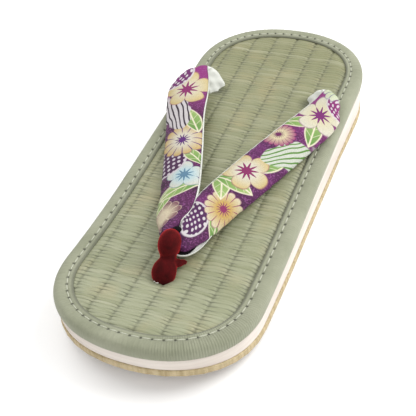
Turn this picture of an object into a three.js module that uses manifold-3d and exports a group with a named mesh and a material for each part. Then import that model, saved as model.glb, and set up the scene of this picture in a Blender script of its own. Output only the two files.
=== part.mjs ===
import * as THREE from 'three';
import { mergeVertices } from 'three/addons/utils/BufferGeometryUtils.js';
import Module from 'manifold-3d';

const wasm = await Module();
wasm.setup();

// A woman's zori sandal in millimetres, standing on its sole.
// The toe points to -Y, +X is to the right as seen from the toe, and the floor is z = 0.

// Outline, the same for every layer of the sole
const LENGTH = 239.4;
const WIDTH = 93;
const WAIST = 0.7;
const END_ROUND = 42;
const ROUND_POWER = 2.2;
const TIP_FLAT = 3.2;
const END_STATIONS = 9;
const SIDE_STATIONS = 9;

// Heights: a wedge that rises to the heel, bent up at the toe
const TOE_HEIGHT = 17.5;
const HEEL_HEIGHT = 28;
const TOE_SPRING = 10;
const SPRING_START = -25.9;
const ARCH_RISE = 1.2;
const ARCH_FRONT = 25.9;
const HEEL_BREAST = 60;

// Layers, from the floor up
const GAP = 0.3;
const OUTSOLE_THICK = 4;
const OUTSOLE_EDGE = 0.8;
const OUTSOLE_ROLL = 0.5;
const MIDSOLE_INSET = 0.6;
const BINDING_DEPTH = 7.5;
const BINDING_WALL = 1.2;
const BINDING_LIP = 8.7;
const LIP_THICK = 1.2;
const PAD_THICK = 2.8;
const MAT_THICK = 2.6;
const MAT_CROWN = 0.8;
const MAT_SLOPE = 3;

// Tread: zigzag grooves, coarse under the heel
const TREAD_PERIOD = 19.2;
const TREAD_SWING = 4.4;
const GROOVE_DEPTH = 1.6;
const FORE_TREAD = { from: -112, to: 36, pitch: 4.5, groove: 1.7 };
const HEEL_TREAD = { from: 67, to: 113, pitch: 7.6, groove: 3 };
const TREAD_BORDER = 3.2;
const CUT_FLOOR = -4;
const SHANK = { from: 42, to: 58.8, depth: 1 };
const BREAST_GROOVE = { from: 60.4, to: 62.4, depth: 1.6 };

// Straps: one row for each section of the right-hand strap, from the joint at the front to the
// tail in the mat. x, y, z is the middle, half the half width, turn and tilt the direction of
// the inner edge in degrees, and pad the thickness. TAIL_START is the row where the tail dips.
const STRAP_ROWS = [
  { x: -0.4, y: -62.5, z: 29.6, half: 6.8, turn: 91, tilt: 12, pad: 5.0 },
  { x: 4.4, y: -60.4, z: 29.6, half: 9.6, turn: 120, tilt: 16, pad: 5.2 },
  { x: 6.2, y: -49.4, z: 29.0, half: 9.8, turn: 145, tilt: 17, pad: 5.2 },
  { x: 9.6, y: -35.6, z: 28.5, half: 10.0, turn: 158, tilt: 18, pad: 5.4 },
  { x: 14.2, y: -21.8, z: 28.2, half: 10.4, turn: 162, tilt: 19, pad: 5.4 },
  { x: 21.0, y: -3.0, z: 28.4, half: 10.6, turn: 164, tilt: 19, pad: 5.4 },
  { x: 28.2, y: 15.8, z: 28.8, half: 10.6, turn: 164, tilt: 17, pad: 5.4 },
  { x: 34.4, y: 31.8, z: 29.6, half: 10.6, turn: 160, tilt: 11, pad: 5.0 },
  { x: 38.0, y: 42.4, z: 31.8, half: 10.2, turn: 148, tilt: 6, pad: 4.8 },
  { x: 39.0, y: 50.2, z: 34.0, half: 9.6, turn: 128, tilt: 4, pad: 4.6 },
  { x: 35.6, y: 54.4, z: 31.6, half: 8.8, turn: 124, tilt: 2, pad: 4.4 },
  { x: 30.4, y: 55.2, z: 28.0, half: 7.4, turn: 124, tilt: 0, pad: 4.0 },
  { x: 26.8, y: 55.0, z: 23.4, half: 6.2, turn: 124, tilt: 0, pad: 3.8 },
  { x: 25.9, y: 54.8, z: 17.0, half: 5.6, turn: 124, tilt: 0, pad: 3.8 },
  { x: 25.9, y: 54.8, z: 11.0, half: 5.2, turn: 124, tilt: 0, pad: 3.6 },
];
const TAIL_START = 11;
const STRAP_CROWN = 1.1;
const STRAP_ROUND = 0.8;
const STRAP_STEPS = 30;
const STRAP_RING = 14;

// Front post: a velvet loop around the straps' joint, and a tongue that runs forward into the
// mat. side is the half width along X and deep the half thickness across the tongue.
const LOOP = { y: -67.0, z: 31.2, sizeX: 4.9, sizeY: 6.6, sizeZ: 6.8 };
const POST_ROWS = [
  { y: -79.4, z: 11.0, side: 3.9, deep: 3.4 },
  { y: -79.3, z: 18.5, side: 4.3, deep: 3.6 },
  { y: -77.6, z: 23.2, side: 5.3, deep: 4.2 },
  { y: -74.8, z: 25.4, side: 5.0, deep: 3.9 },
  { y: -72.2, z: 27.4, side: 4.1, deep: 3.3 },
  { y: -69.0, z: 29.6, side: 4.3, deep: 3.4 },
];
const POST_STEPS = 10;
const POST_RING = 12;
const BRIDGE = { y: -65.0, z: 28.8, radius: 2.2, reach: 6.0 };

const FINISHES = {
  outsole: { color: 0x9a7f58, roughness: 0.75, metalness: 0 },
  midsole: { color: 0xe9e7e1, roughness: 0.65, metalness: 0 },
  insole_pad: { color: 0xd8d4c4, roughness: 0.9, metalness: 0 },
  rush_mat: { color: 0xadb087, roughness: 0.7, metalness: 0 },
  edge_binding: { color: 0x98a083, roughness: 0.9, metalness: 0 },
  upper: { color: 0x7b3572, roughness: 0.85, metalness: 0 },
  front_post: { color: 0x74191d, roughness: 0.95, metalness: 0 },
};

// Height of the sole's bend above the floor, forward of the ball of the foot
function spring(y) {
  const reach = Math.max(0, SPRING_START - y) / (LENGTH / 2 + SPRING_START);
  return TOE_SPRING * reach * reach;
}

// Underside of the outsole: flat at the heel and the ball, hollow at the shank
function ground(y) {
  const along = (y - ARCH_FRONT) / (HEEL_BREAST - ARCH_FRONT);
  const arch = along > 0 && along < 1 ? ARCH_RISE * Math.sin(Math.PI * along) ** 2 : 0;
  return spring(y) + arch;
}

// Top of the edge binding
function edgeTop(y) {
  const along = (y + LENGTH / 2) / LENGTH;
  return TOE_HEIGHT + (HEEL_HEIGHT - TOE_HEIGHT) * along + spring(y);
}

// Half width of the outline at y
function halfWidth(y) {
  const side = WIDTH / 2 - WAIST * Math.cos((Math.PI * y) / LENGTH) ** 2;
  const reach = (Math.abs(y) - (LENGTH / 2 - END_ROUND)) / END_ROUND;
  if (reach <= 0) return side;
  const round = Math.max(0, 1 - reach ** ROUND_POWER) ** (1 / ROUND_POWER);
  return Math.max(TIP_FLAT, side * round);
}

// Places along Y of the outline's points, close together round the ends
function outlineStations() {
  const straight = LENGTH / 2 - END_ROUND;
  const end = [];
  for (let i = 1; i <= END_STATIONS; i += 1) {
    const angle = (Math.PI / 2) * (i / END_STATIONS);
    end.push(straight + END_ROUND * Math.sin(angle) ** (2 / ROUND_POWER));
  }
  const middle = [];
  for (let i = 0; i <= SIDE_STATIONS; i += 1) {
    middle.push(-straight + (2 * straight * i) / SIDE_STATIONS);
  }
  return [...end.map((y) => -y).reverse(), ...middle, ...end];
}

// The outline's right side, each point with the direction that points out of the sandal
const OUTLINE = outlineStations().map((y) => new THREE.Vector2(halfWidth(y), y));
const OUTWARD = OUTLINE.map((point, i) => {
  const before = i > 0 ? OUTLINE[i - 1] : new THREE.Vector2(-point.x, point.y);
  const after = i < OUTLINE.length - 1 ? OUTLINE[i + 1] : new THREE.Vector2(-point.x, point.y);
  const along = after.clone().sub(before).normalize();
  return new THREE.Vector2(along.y, -along.x);
});

// Right-hand points of the outline moved in by inset, at the height that level gives at each y
function outlineRow({ inset, level }) {
  return OUTLINE.map((point, i) => {
    const x = point.x - OUTWARD[i].x * inset;
    const y = point.y - OUTWARD[i].y * inset;
    return new THREE.Vector3(Math.max(x, 0.4), y, level(y));
  });
}

// A geometry from points and triangles
function meshGeometry(points, triangles) {
  const geometry = new THREE.BufferGeometry();
  const flat = points.flatMap((p) => [p.x, p.y, p.z]);
  geometry.setAttribute('position', new THREE.Float32BufferAttribute(flat, 3));
  geometry.setIndex(triangles.flat());
  return geometry;
}

// A ring of points all round the sandal: up the right side and back down the left
function fullRing(row) {
  const left = row.map((p) => new THREE.Vector3(-p.x, p.y, p.z)).reverse();
  return [...row, ...left];
}

// Triangles between two rings of count points that start at a and b
function band(a, b, count) {
  const triangles = [];
  for (let i = 0; i < count; i += 1) {
    const j = (i + 1) % count;
    triangles.push([a + i, a + j, b + j], [a + i, b + j, b + i]);
  }
  return triangles;
}

// A layer of the sole: rows from the bottom edge up to the top, closed by strips across
function layer(rows) {
  const rings = rows.map((row) => fullRing(outlineRow(row)));
  const count = rings[0].length;
  const triangles = [];
  for (let r = 0; r < rings.length - 1; r += 1) {
    triangles.push(...band(r * count, (r + 1) * count, count));
  }
  const top = (rings.length - 1) * count;
  for (let i = 0; i < count / 2 - 1; i += 1) {
    const mirror = count - 1 - i;
    triangles.push([i, mirror, mirror - 1], [i, mirror - 1, i + 1]);
    triangles.push([top + i, top + i + 1, top + mirror - 1]);
    triangles.push([top + i, top + mirror - 1, top + mirror]);
  }
  return meshGeometry(rings.flat(), triangles);
}

// A closed band round the sandal, from a section whose points go outward, up, in and down
function rim(section) {
  const rings = section.map((row) => fullRing(outlineRow(row)));
  const count = rings[0].length;
  const triangles = [];
  rings.forEach((_, r) => {
    triangles.push(...band(r * count, ((r + 1) % rings.length) * count, count));
  });
  return meshGeometry(rings.flat(), triangles);
}

// A solid through rings of equal count, closed by flat ends
function loft(rings) {
  const count = rings[0].length;
  const triangles = [];
  for (let r = 0; r < rings.length - 1; r += 1) {
    triangles.push(...band(r * count, (r + 1) * count, count));
  }
  const last = (rings.length - 1) * count;
  for (let i = 1; i < count - 1; i += 1) {
    triangles.push([0, i + 1, i], [last, last + i, last + i + 1]);
  }
  return meshGeometry(rings.flat(), triangles);
}

function toSolid(geometry) {
  const bare = geometry.clone();
  bare.deleteAttribute('normal');
  bare.deleteAttribute('uv');
  const merged = mergeVertices(bare, 1e-4);
  return new wasm.Manifold(new wasm.Mesh({
    numProp: 3,
    vertProperties: new Float32Array(merged.attributes.position.array),
    triVerts: new Uint32Array(merged.index.array),
  }));
}

function toGeometry(solid) {
  const mesh = solid.getMesh();
  const geometry = new THREE.BufferGeometry();
  geometry.setAttribute('position', new THREE.BufferAttribute(mesh.vertProperties, 3));
  geometry.setIndex(new THREE.BufferAttribute(mesh.triVerts, 1));
  return geometry;
}

// Smooth value of one column of a table at place 0 to 1 along its rows
function column(rows, name, place) {
  const at = place * (rows.length - 1);
  const i = Math.min(rows.length - 2, Math.floor(at));
  const t = at - i;
  const [a, b, c, d] = [i - 1, i, i + 1, i + 2].map((k) => (
    rows[THREE.MathUtils.clamp(k, 0, rows.length - 1)][name]
  ));
  return 0.5 * (2 * b + (c - a) * t + (2 * a - 5 * b + 4 * c - d) * t * t
    + (3 * b - a - 3 * c + d) * t ** 3);
}

// Middle and inner-edge direction of the strap at place 0 to 1
function strapFrame(place) {
  const value = (name) => column(STRAP_ROWS, name, place);
  const turn = THREE.MathUtils.degToRad(value('turn'));
  const tilt = THREE.MathUtils.degToRad(value('tilt'));
  return {
    middle: new THREE.Vector3(value('x'), value('y'), value('z')),
    inner: new THREE.Vector3(
      Math.cos(tilt) * Math.cos(turn), Math.cos(tilt) * Math.sin(turn), Math.sin(tilt),
    ),
    half: value('half'),
    pad: value('pad'),
  };
}

// One section of the strap: a padded lens with its crown on the printed side
function strapRing(place, grow) {
  const { middle, inner, half, pad } = strapFrame(place);
  const step = 0.004;
  const before = strapFrame(Math.max(0, place - step)).middle;
  const after = strapFrame(Math.min(1, place + step)).middle;
  const up = after.sub(before).cross(inner).normalize();
  const ring = [];
  for (let i = 0; i < STRAP_RING; i += 1) {
    const angle = (2 * Math.PI * i) / STRAP_RING;
    const across = Math.cos(angle);
    const rise = Math.sign(Math.sin(angle)) * Math.abs(Math.sin(angle)) ** STRAP_ROUND;
    const crown = STRAP_CROWN * (1 - across * across);
    ring.push(middle.clone()
      .addScaledVector(inner, across * (half + grow))
      .addScaledVector(up, rise * (pad / 2 + grow) + crown));
  }
  return ring;
}

// The right-hand strap from one place to another, 0 at the joint and 1 at the tail's end
function strap(from, to, grow) {
  const rings = [];
  for (let i = 0; i <= STRAP_STEPS; i += 1) {
    rings.push(strapRing(from + ((to - from) * i) / STRAP_STEPS, grow));
  }
  return toSolid(loft(rings));
}

// A solid and its mirror image across the middle of the sandal
function bothSides(solid) {
  return solid.add(solid.mirror([1, 0, 0]));
}

// The tongue of the front post, a rounded pad along its rows
function postTongue(grow) {
  const rings = [];
  for (let i = 0; i <= POST_STEPS; i += 1) {
    const place = i / POST_STEPS;
    const value = (name, at) => column(POST_ROWS, name, at);
    const dy = value('y', Math.min(1, place + 0.01)) - value('y', Math.max(0, place - 0.01));
    const dz = value('z', Math.min(1, place + 0.01)) - value('z', Math.max(0, place - 0.01));
    const long = Math.hypot(dy, dz);
    const ring = [];
    for (let k = 0; k < POST_RING; k += 1) {
      const angle = (2 * Math.PI * k) / POST_RING;
      const deep = (value('deep', place) + grow) * Math.sin(angle);
      ring.push(new THREE.Vector3(
        (value('side', place) + grow) * Math.cos(angle),
        value('y', place) + (deep * dz) / long,
        value('z', place) - (deep * dy) / long,
      ));
    }
    rings.push(ring);
  }
  return toSolid(loft(rings));
}

// The rounded loop of the front post
function postLoop(grow) {
  const ball = new THREE.SphereGeometry(1, 16, 10);
  ball.scale(LOOP.sizeX + grow, LOOP.sizeY + grow, LOOP.sizeZ + grow);
  ball.translate(0, LOOP.y, LOOP.z);
  return toSolid(ball);
}

// The cord that joins the straps inside the loop
function bridge(grow) {
  const radius = BRIDGE.radius + grow;
  const rod = new THREE.CylinderGeometry(radius, radius, 2 * (BRIDGE.reach + grow), 14);
  rod.rotateZ(Math.PI / 2);
  rod.translate(0, BRIDGE.y, BRIDGE.z);
  return toSolid(rod);
}

// A zigzag cutter across the sole whose roof is depth above the underside
function zigzag(y, width, depth) {
  const rings = [];
  const knees = Math.ceil(WIDTH / TREAD_PERIOD) + 1;
  for (let k = -knees; k <= knees; k += 1) {
    const x = (k * TREAD_PERIOD) / 2;
    const centre = y + (k % 2 === 0 ? -TREAD_SWING / 2 : TREAD_SWING / 2);
    const front = centre - width / 2;
    const back = centre + width / 2;
    rings.push([
      new THREE.Vector3(x, front, CUT_FLOOR),
      new THREE.Vector3(x, back, CUT_FLOOR),
      new THREE.Vector3(x, back, ground(back) + depth),
      new THREE.Vector3(x, front, ground(front) + depth),
    ]);
  }
  return toSolid(loft(rings));
}

// A straight cutter from edge to edge of the sole, whose roof is depth above the floor
function crossCut({ from, to, depth }) {
  const box = new THREE.BoxGeometry(WIDTH, to - from, depth - CUT_FLOOR);
  box.translate(0, (from + to) / 2, (depth + CUT_FLOOR) / 2);
  return toSolid(box);
}

// All the zigzag grooves of one field
function treadField({ from, to, pitch, groove }) {
  const grooves = [];
  for (let y = from; y <= to + 1e-6; y += pitch) {
    grooves.push(zigzag(y, groove, GROOVE_DEPTH));
  }
  return grooves.reduce((all, one) => all.add(one));
}

// The part of the sole that grooves may cut, inside a plain border
function treadArea() {
  return toSolid(layer([
    { inset: TREAD_BORDER, level: () => CUT_FLOOR },
    { inset: TREAD_BORDER, level: (y) => spring(y) + OUTSOLE_THICK },
  ]));
}

function makeOutsole() {
  const top = (y) => spring(y) + OUTSOLE_THICK;
  const plate = toSolid(layer([
    { inset: OUTSOLE_EDGE, level: ground },
    { inset: 0, level: (y) => ground(y) + OUTSOLE_EDGE },
    { inset: 0, level: (y) => top(y) - OUTSOLE_ROLL },
    { inset: OUTSOLE_ROLL, level: top },
  ]));
  const tread = treadField(HEEL_TREAD).add(treadField(FORE_TREAD));
  const cuts = tread.add(crossCut(SHANK)).add(crossCut(BREAST_GROOVE));
  return plate.subtract(cuts.intersect(treadArea()));
}

function makeMidsole() {
  const bottom = (y) => spring(y) + OUTSOLE_THICK + GAP;
  const top = (y) => edgeTop(y) - BINDING_DEPTH;
  return toSolid(layer([
    { inset: MIDSOLE_INSET, level: bottom },
    { inset: MIDSOLE_INSET, level: top },
  ])).subtract(holes().translate([0, 0, -GAP]));
}

function makePad() {
  const inset = BINDING_WALL + GAP;
  const bottom = (y) => edgeTop(y) - BINDING_DEPTH + GAP;
  return toSolid(layer([
    { inset, level: bottom },
    { inset, level: (y) => bottom(y) + PAD_THICK },
  ])).subtract(holes());
}

function makeMat() {
  const inset = BINDING_WALL + GAP;
  const top = (y) => edgeTop(y) - LIP_THICK - GAP;
  return toSolid(layer([
    { inset, level: (y) => top(y) - MAT_THICK },
    { inset, level: top },
    { inset: BINDING_LIP + GAP, level: top },
    { inset: BINDING_LIP + MAT_SLOPE, level: (y) => top(y) + MAT_CROWN },
  ])).subtract(holes());
}

// The tape: outer bottom corner, rounded side, lip over the mat, and the inside back down
function makeBinding() {
  const from = (down) => (y) => edgeTop(y) - down;
  return toSolid(rim([
    { inset: BINDING_WALL, level: from(BINDING_DEPTH - GAP) },
    { inset: 0.2, level: from(BINDING_DEPTH - GAP) },
    { inset: -0.4, level: from(5.4) },
    { inset: -0.4, level: from(2.4) },
    { inset: 0.5, level: from(0.8) },
    { inset: 2.2, level: from(0) },
    { inset: 6.4, level: from(0.1) },
    { inset: BINDING_LIP - 0.3, level: from(0.5) },
    { inset: BINDING_LIP, level: from(LIP_THICK) },
    { inset: BINDING_WALL, level: from(LIP_THICK) },
  ]));
}

// Room for the strap tails and the post where they go down through the footbed
function holes() {
  const tailFrom = TAIL_START / (STRAP_ROWS.length - 1);
  return bothSides(strap(tailFrom, 1, GAP)).add(postTongue(GAP));
}

function makeUpper() {
  return bothSides(strap(0, 1, 0))
    .subtract(postLoop(GAP))
    .subtract(postTongue(GAP))
    .add(bridge(0));
}

function makePost() {
  return postLoop(0).add(postTongue(0)).subtract(bridge(GAP));
}

const MAKERS = {
  outsole: makeOutsole,
  midsole: makeMidsole,
  insole_pad: makePad,
  rush_mat: makeMat,
  edge_binding: makeBinding,
  upper: makeUpper,
  front_post: makePost,
};

const sandal = new THREE.Group();
Object.entries(MAKERS).forEach(([name, make]) => {
  const mesh = new THREE.Mesh(toGeometry(make()), new THREE.MeshStandardMaterial(FINISHES[name]));
  mesh.name = name;
  sandal.add(mesh);
});

export default sandal;
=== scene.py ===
"""A zori sandal: rush footbed, bound edge, foam wedge, rubber tread and padded crepe straps.

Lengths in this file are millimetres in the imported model's frame: the toe points to -Y, +X is to
the right as seen from the toe, and +Z is up. MM turns them to metres where a mesh or a texture
needs them. Colours are sRGB hex values.
"""

import logging
import math
from dataclasses import dataclass
from enum import Enum
from functools import cached_property
from typing import Callable

import bpy
import numpy as np
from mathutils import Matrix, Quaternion, Vector


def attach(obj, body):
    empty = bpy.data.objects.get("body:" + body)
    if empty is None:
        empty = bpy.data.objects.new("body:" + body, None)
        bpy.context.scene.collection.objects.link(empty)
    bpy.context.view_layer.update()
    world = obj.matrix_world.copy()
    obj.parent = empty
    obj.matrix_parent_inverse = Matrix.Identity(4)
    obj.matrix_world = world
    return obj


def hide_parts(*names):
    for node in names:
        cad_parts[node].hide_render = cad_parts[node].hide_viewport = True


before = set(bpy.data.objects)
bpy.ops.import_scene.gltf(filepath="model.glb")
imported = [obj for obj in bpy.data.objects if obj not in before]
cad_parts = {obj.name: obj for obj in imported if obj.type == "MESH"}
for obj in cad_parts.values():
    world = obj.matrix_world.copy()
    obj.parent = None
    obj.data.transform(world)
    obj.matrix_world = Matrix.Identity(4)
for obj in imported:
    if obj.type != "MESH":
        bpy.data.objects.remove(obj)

log = logging.getLogger("zori")

MM = 0.001
ROOT = "root"
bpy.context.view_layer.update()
MERGE_REACH = 0.002

Array = np.ndarray
Piece = bpy.types.Object
Tree = bpy.types.NodeTree
Pair = tuple[float, float]
Triple = tuple[float, float, float]
Value = float | str | tuple | bpy.types.Node | bpy.types.NodeSocket
Surface = Callable[[Array, Array], Array]
Sockets = dict[str, bpy.types.NodeSocket]
Drawn = tuple[bpy.types.Node, bpy.types.Node]


def linear(code: str) -> tuple[float, ...]:
    """Turns an sRGB hex colour to linear RGBA.

    Args:
        code: Six hex digits after a hash.

    Returns:
        Red, green, blue and alpha as the shader takes them.
    """
    parts = [int(code[i:i + 2], 16) / 255 for i in (1, 3, 5)]
    bent = [p / 12.92 if p <= 0.04045 else ((p + 0.055) / 1.055) ** 2.4 for p in parts]
    return (bent[0], bent[1], bent[2], 1.0)


def per(size: float) -> float:
    """Returns the texture scale that gives a pattern's grain a size in millimetres."""
    return 1 / (size * MM)


def add(tree: Tree, kind: str, *values: Value, **named) -> bpy.types.Node:
    """Adds a node with its settings and links.

    A value is a number, a vector, a hex colour, or the node or socket that feeds the input. A
    node feeds it by the first of its outputs in use.

    Args:
        tree: The node tree.
        kind: The node's class name, where ShaderNode in front is left out.
        *values: Values for the inputs in use, in their order.
        **named: Values for inputs by name, with a capital first and underscores for spaces, and
            the node's own settings, with a small letter first.

    Returns:
        The new node.
    """
    node = tree.nodes.new(kind if kind.startswith("NodeGroup") else f"ShaderNode{kind}")
    for name, value in named.items():
        if name[0].islower():
            setattr(node, name, value)
    wanted = list(zip([socket for socket in node.inputs if socket.enabled], values))
    for name, value in named.items():
        if name[0].isupper():
            wanted.append((node.inputs[name.replace("_", " ")], value))
    for socket, value in wanted:
        if isinstance(value, bpy.types.Node):
            value = next(out for out in value.outputs if out.enabled)
        if isinstance(value, bpy.types.NodeSocket):
            tree.links.new(value, socket)
        else:
            socket.default_value = linear(value) if isinstance(value, str) else value
    return node


def smooth(low: float, high: float, value: Array) -> Array:
    """Returns a soft step from 0 at low to 1 at high."""
    t = np.clip((value - low) / (high - low), 0, 1)
    return t * t * (3 - 2 * t)


def bump_at(value: Array, centre: float, width: float) -> Array:
    """Returns a bell curve of height 1 round a centre."""
    return np.exp(-(((value - centre) / width) ** 2))


def through(rows: Array, place: Array, closed: bool = False) -> Array:
    """Runs a Catmull-Rom curve through the rows of a table.

    Args:
        rows: One row for each knot.
        place: Places from 0 to 1 along the rows.
        closed: Whether the last row leads back to the first.

    Returns:
        One interpolated row for each place.
    """
    count = len(rows)
    spans = count if closed else count - 1
    at = np.clip(place, 0, 1) * spans
    index = np.minimum(at.astype(int), spans - 1)
    t = (at - index)[:, None]
    picks = [index + k for k in (-1, 0, 1, 2)]
    picks = [p % count if closed else np.clip(p, 0, count - 1) for p in picks]
    a, b, c, d = (rows[p] for p in picks)
    return 0.5 * (2 * b + (c - a) * t + (2 * a - 5 * b + 4 * c - d) * t**2
                  + (3 * b - a - 3 * c + d) * t**3)


def bare_selection() -> None:
    """Deselects everything, so that the next operator acts on its own object alone."""
    bpy.ops.object.select_all(action="DESELECT")


def choose(*pieces: Piece) -> None:
    """Selects pieces and nothing else, and makes the first one active."""
    bare_selection()
    for piece in pieces:
        piece.select_set(True)
    bpy.context.view_layer.objects.active = pieces[0]


def join(pieces: list[Piece], name: str) -> Piece:
    """Joins pieces into one whose object sits at the origin.

    Args:
        pieces: The pieces, each at its place.
        name: The name of the whole.

    Returns:
        The whole, selected and active.
    """
    choose(*pieces)
    bpy.ops.object.join()
    bpy.ops.object.transform_apply(location=True, rotation=True, scale=True)
    whole = bpy.context.object
    whole.name = name
    return whole


def close_up(piece: Piece, cap_holes: bool = False) -> None:
    """Merges a piece's doubled points and turns its faces outwards.

    Args:
        piece: The mesh.
        cap_holes: Whether open ends are closed by flat faces first.
    """
    choose(piece)
    bpy.ops.object.mode_set(mode="EDIT")
    bpy.ops.mesh.select_all(action="SELECT")
    bpy.ops.mesh.remove_doubles(threshold=MERGE_REACH * MM)
    if cap_holes:
        bpy.ops.mesh.select_all(action="DESELECT")
        bpy.ops.mesh.select_non_manifold(extend=False)
        bpy.ops.mesh.fill_holes(sides=0)
        bpy.ops.mesh.select_all(action="SELECT")
    bpy.ops.mesh.normals_make_consistent(inside=False)
    bpy.ops.object.mode_set(mode="OBJECT")


def points_of(mesh: bpy.types.Mesh) -> Array:
    """Reads a mesh's points.

    Args:
        mesh: The mesh.

    Returns:
        One row for each point.
    """
    flat = np.empty(len(mesh.vertices) * 3)
    mesh.vertices.foreach_get("co", flat)
    return flat.reshape(-1, 3)


def paint_on(mesh: bpy.types.Mesh, shares: Array) -> None:
    """Writes three shares for each point, which a finish reads as the attribute paint."""
    layer = mesh.attributes.new("paint", "FLOAT_VECTOR", "POINT")
    layer.data.foreach_set("vector", shares.ravel())


def lay_grid(name: str, steps: tuple[int, int], surface: Surface, chart: Surface,
             cap_holes: bool = False, paint: Surface | None = None) -> Piece:
    """Lays a grid primitive over a form and closes it.

    Args:
        name: The piece's name.
        steps: Numbers of steps along and across.
        surface: Gives points in millimetres for two parameters from 0 to 1.
        chart: Gives two chart coordinates, in millimetres, for the same parameters.
        cap_holes: Whether open ends are closed by flat faces.
        paint: Gives three shares for each point, where the finish needs them.

    Returns:
        The closed, smooth-shaded piece.
    """
    bare_selection()
    bpy.ops.mesh.primitive_grid_add(x_subdivisions=steps[0], y_subdivisions=steps[1], size=2)
    piece = bpy.context.object
    piece.name = name
    piece.data.name = name
    mesh = piece.data
    u, v = (points_of(mesh)[:, :2].T + 1) / 2
    mesh.vertices.foreach_set("co", (surface(u, v) * MM).ravel())
    corners = np.empty(len(mesh.loops), dtype=np.int32)
    mesh.loops.foreach_get("vertex_index", corners)
    mesh.uv_layers.active.data.foreach_set("uv", chart(u, v)[corners].ravel())
    if paint:
        paint_on(mesh, paint(u, v))
    mesh.update()
    close_up(piece, cap_holes)
    bpy.ops.object.shade_smooth()
    return piece


class Slot(Enum):
    """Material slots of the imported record."""

    RUBBER = "outsole_rubber"
    FOAM = "midsole_foam"
    RUSH = "rush_weave"
    COTTON = "binding_cotton"
    CREPE = "strap_crepe"
    VELVET = "post_velvet"


def settle(piece: Piece, material: bpy.types.Material, slot: Slot, *nodes: str) -> Piece:
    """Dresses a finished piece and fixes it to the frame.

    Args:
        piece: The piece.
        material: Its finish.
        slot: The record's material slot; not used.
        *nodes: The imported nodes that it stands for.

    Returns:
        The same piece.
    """
    piece.data.materials.clear()
    piece.data.materials.append(material)
    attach(piece, ROOT)
    if nodes:
        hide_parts(*nodes)
    log.info("%s: %d faces", piece.name, len(piece.data.polygons))
    return piece


class Side(Enum):
    """Sides of the sandal as seen from the toe, as the sign of X."""

    RIGHT = 1
    LEFT = -1


@dataclass(frozen=True)
class SoleForm:
    """Outline and heights that every layer of the sole shares.

    The outline has round ends of a superellipse and long sides that draw in at the waist.
    """

    length: float = 239.4
    width: float = 93.0
    waist: float = 0.7
    end_round: float = 42.0
    round_power: float = 2.2
    toe_height: float = 17.5
    heel_height: float = 28.0
    toe_spring: float = 10.0
    spring_start: float = -25.9
    end_steps: int = 1500
    side_steps: int = 600
    rail_steps: int = 2401

    def half_width(self, y: Array, inset: float = 0.0) -> Array:
        """Gives the outline's half width.

        Args:
            y: Places along the sandal.
            inset: How far the outline is moved in.

        Returns:
            The half width at each place.
        """
        side = self.width / 2 - self.waist * np.cos(np.pi * y / self.length) ** 2 - inset
        reach = (np.abs(y) - (self.length / 2 - self.end_round)) / (self.end_round - inset)
        reach = np.clip(reach, 0, 1)
        return side * (1 - reach**self.round_power) ** (1 / self.round_power)

    def spring(self, y: Array) -> Array:
        """Returns the sole's bend above the floor, ahead of the ball of the foot."""
        reach = np.maximum(0, self.spring_start - y) / (self.length / 2 + self.spring_start)
        return self.toe_spring * reach**2

    def edge_top(self, y: Array) -> Array:
        """Returns the height of the bound edge at y."""
        along = (y + self.length / 2) / self.length
        return self.toe_height + (self.heel_height - self.toe_height) * along + self.spring(y)

    @cached_property
    def rail(self) -> tuple[Array, Array, float]:
        """Points and outward directions at even steps round the outline, and its length."""
        angle = np.linspace(0, np.pi / 2, self.end_steps)
        straight = self.length / 2 - self.end_round
        end = straight + self.end_round * np.sin(angle) ** (2 / self.round_power)
        sides = np.linspace(-straight, straight, self.side_steps)[1:-1]
        y = np.concatenate([-end[::-1], sides, end])
        x = self.half_width(y)
        loop = np.concatenate([np.c_[-x[::-1], y[::-1]], np.c_[x, y][1:]])
        walked = np.r_[0, np.cumsum(np.hypot(*np.diff(loop, axis=0).T))]
        even = np.linspace(0, walked[-1], self.rail_steps)
        points = np.c_[np.interp(even, walked, loop[:, 0]), np.interp(even, walked, loop[:, 1])]
        before = np.roll(points[:-1], 1, axis=0)
        after = np.roll(points[:-1], -1, axis=0)
        way = (after - before) / np.linalg.norm(after - before, axis=1)[:, None]
        out = np.c_[way[:, 1], -way[:, 0]]
        return points, np.vstack([out, out[:1]]), float(walked[-1])

    def around(self, turn: Array, inset: Array) -> tuple[Array, Array]:
        """Finds places on the outline.

        Args:
            turn: Shares of the way round, from the heel.
            inset: How far each place is moved in.

        Returns:
            x and y of each place.
        """
        points, out, _ = self.rail
        even = np.linspace(0, 1, len(points))
        px, py = (np.interp(turn, even, points[:, k]) for k in (0, 1))
        ox, oy = (np.interp(turn, even, out[:, k]) for k in (0, 1))
        return px - ox * inset, py - oy * inset

    def depth_inside(self, x: Array, y: Array) -> Array:
        """Measures roughly how far points lie inside the outline.

        Args:
            x: Places across the sandal.
            y: Places along it.

        Returns:
            The depth of each, 0 on the outline.
        """
        side = self.half_width(np.zeros_like(y))
        reach = np.maximum(0, np.abs(y) - (self.length / 2 - self.end_round)) / self.end_round
        power = self.round_power
        ratio = ((np.abs(x) / side) ** power + reach**power) ** (1 / power)
        share = (reach / np.maximum(ratio, 1e-6)) ** 2
        return (1 - ratio) * (side + (self.end_round - side) * share)


FORM = SoleForm()


@dataclass(frozen=True)
class StrapRow:
    """One section of the right-hand strap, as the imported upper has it.

    x, y and z are its middle and half is half its width. turn and tilt are the heading and the
    rise of its inner edge, in degrees, and pad is its thickness.
    """

    x: float
    y: float
    z: float
    half: float
    turn: float
    tilt: float
    pad: float


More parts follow.
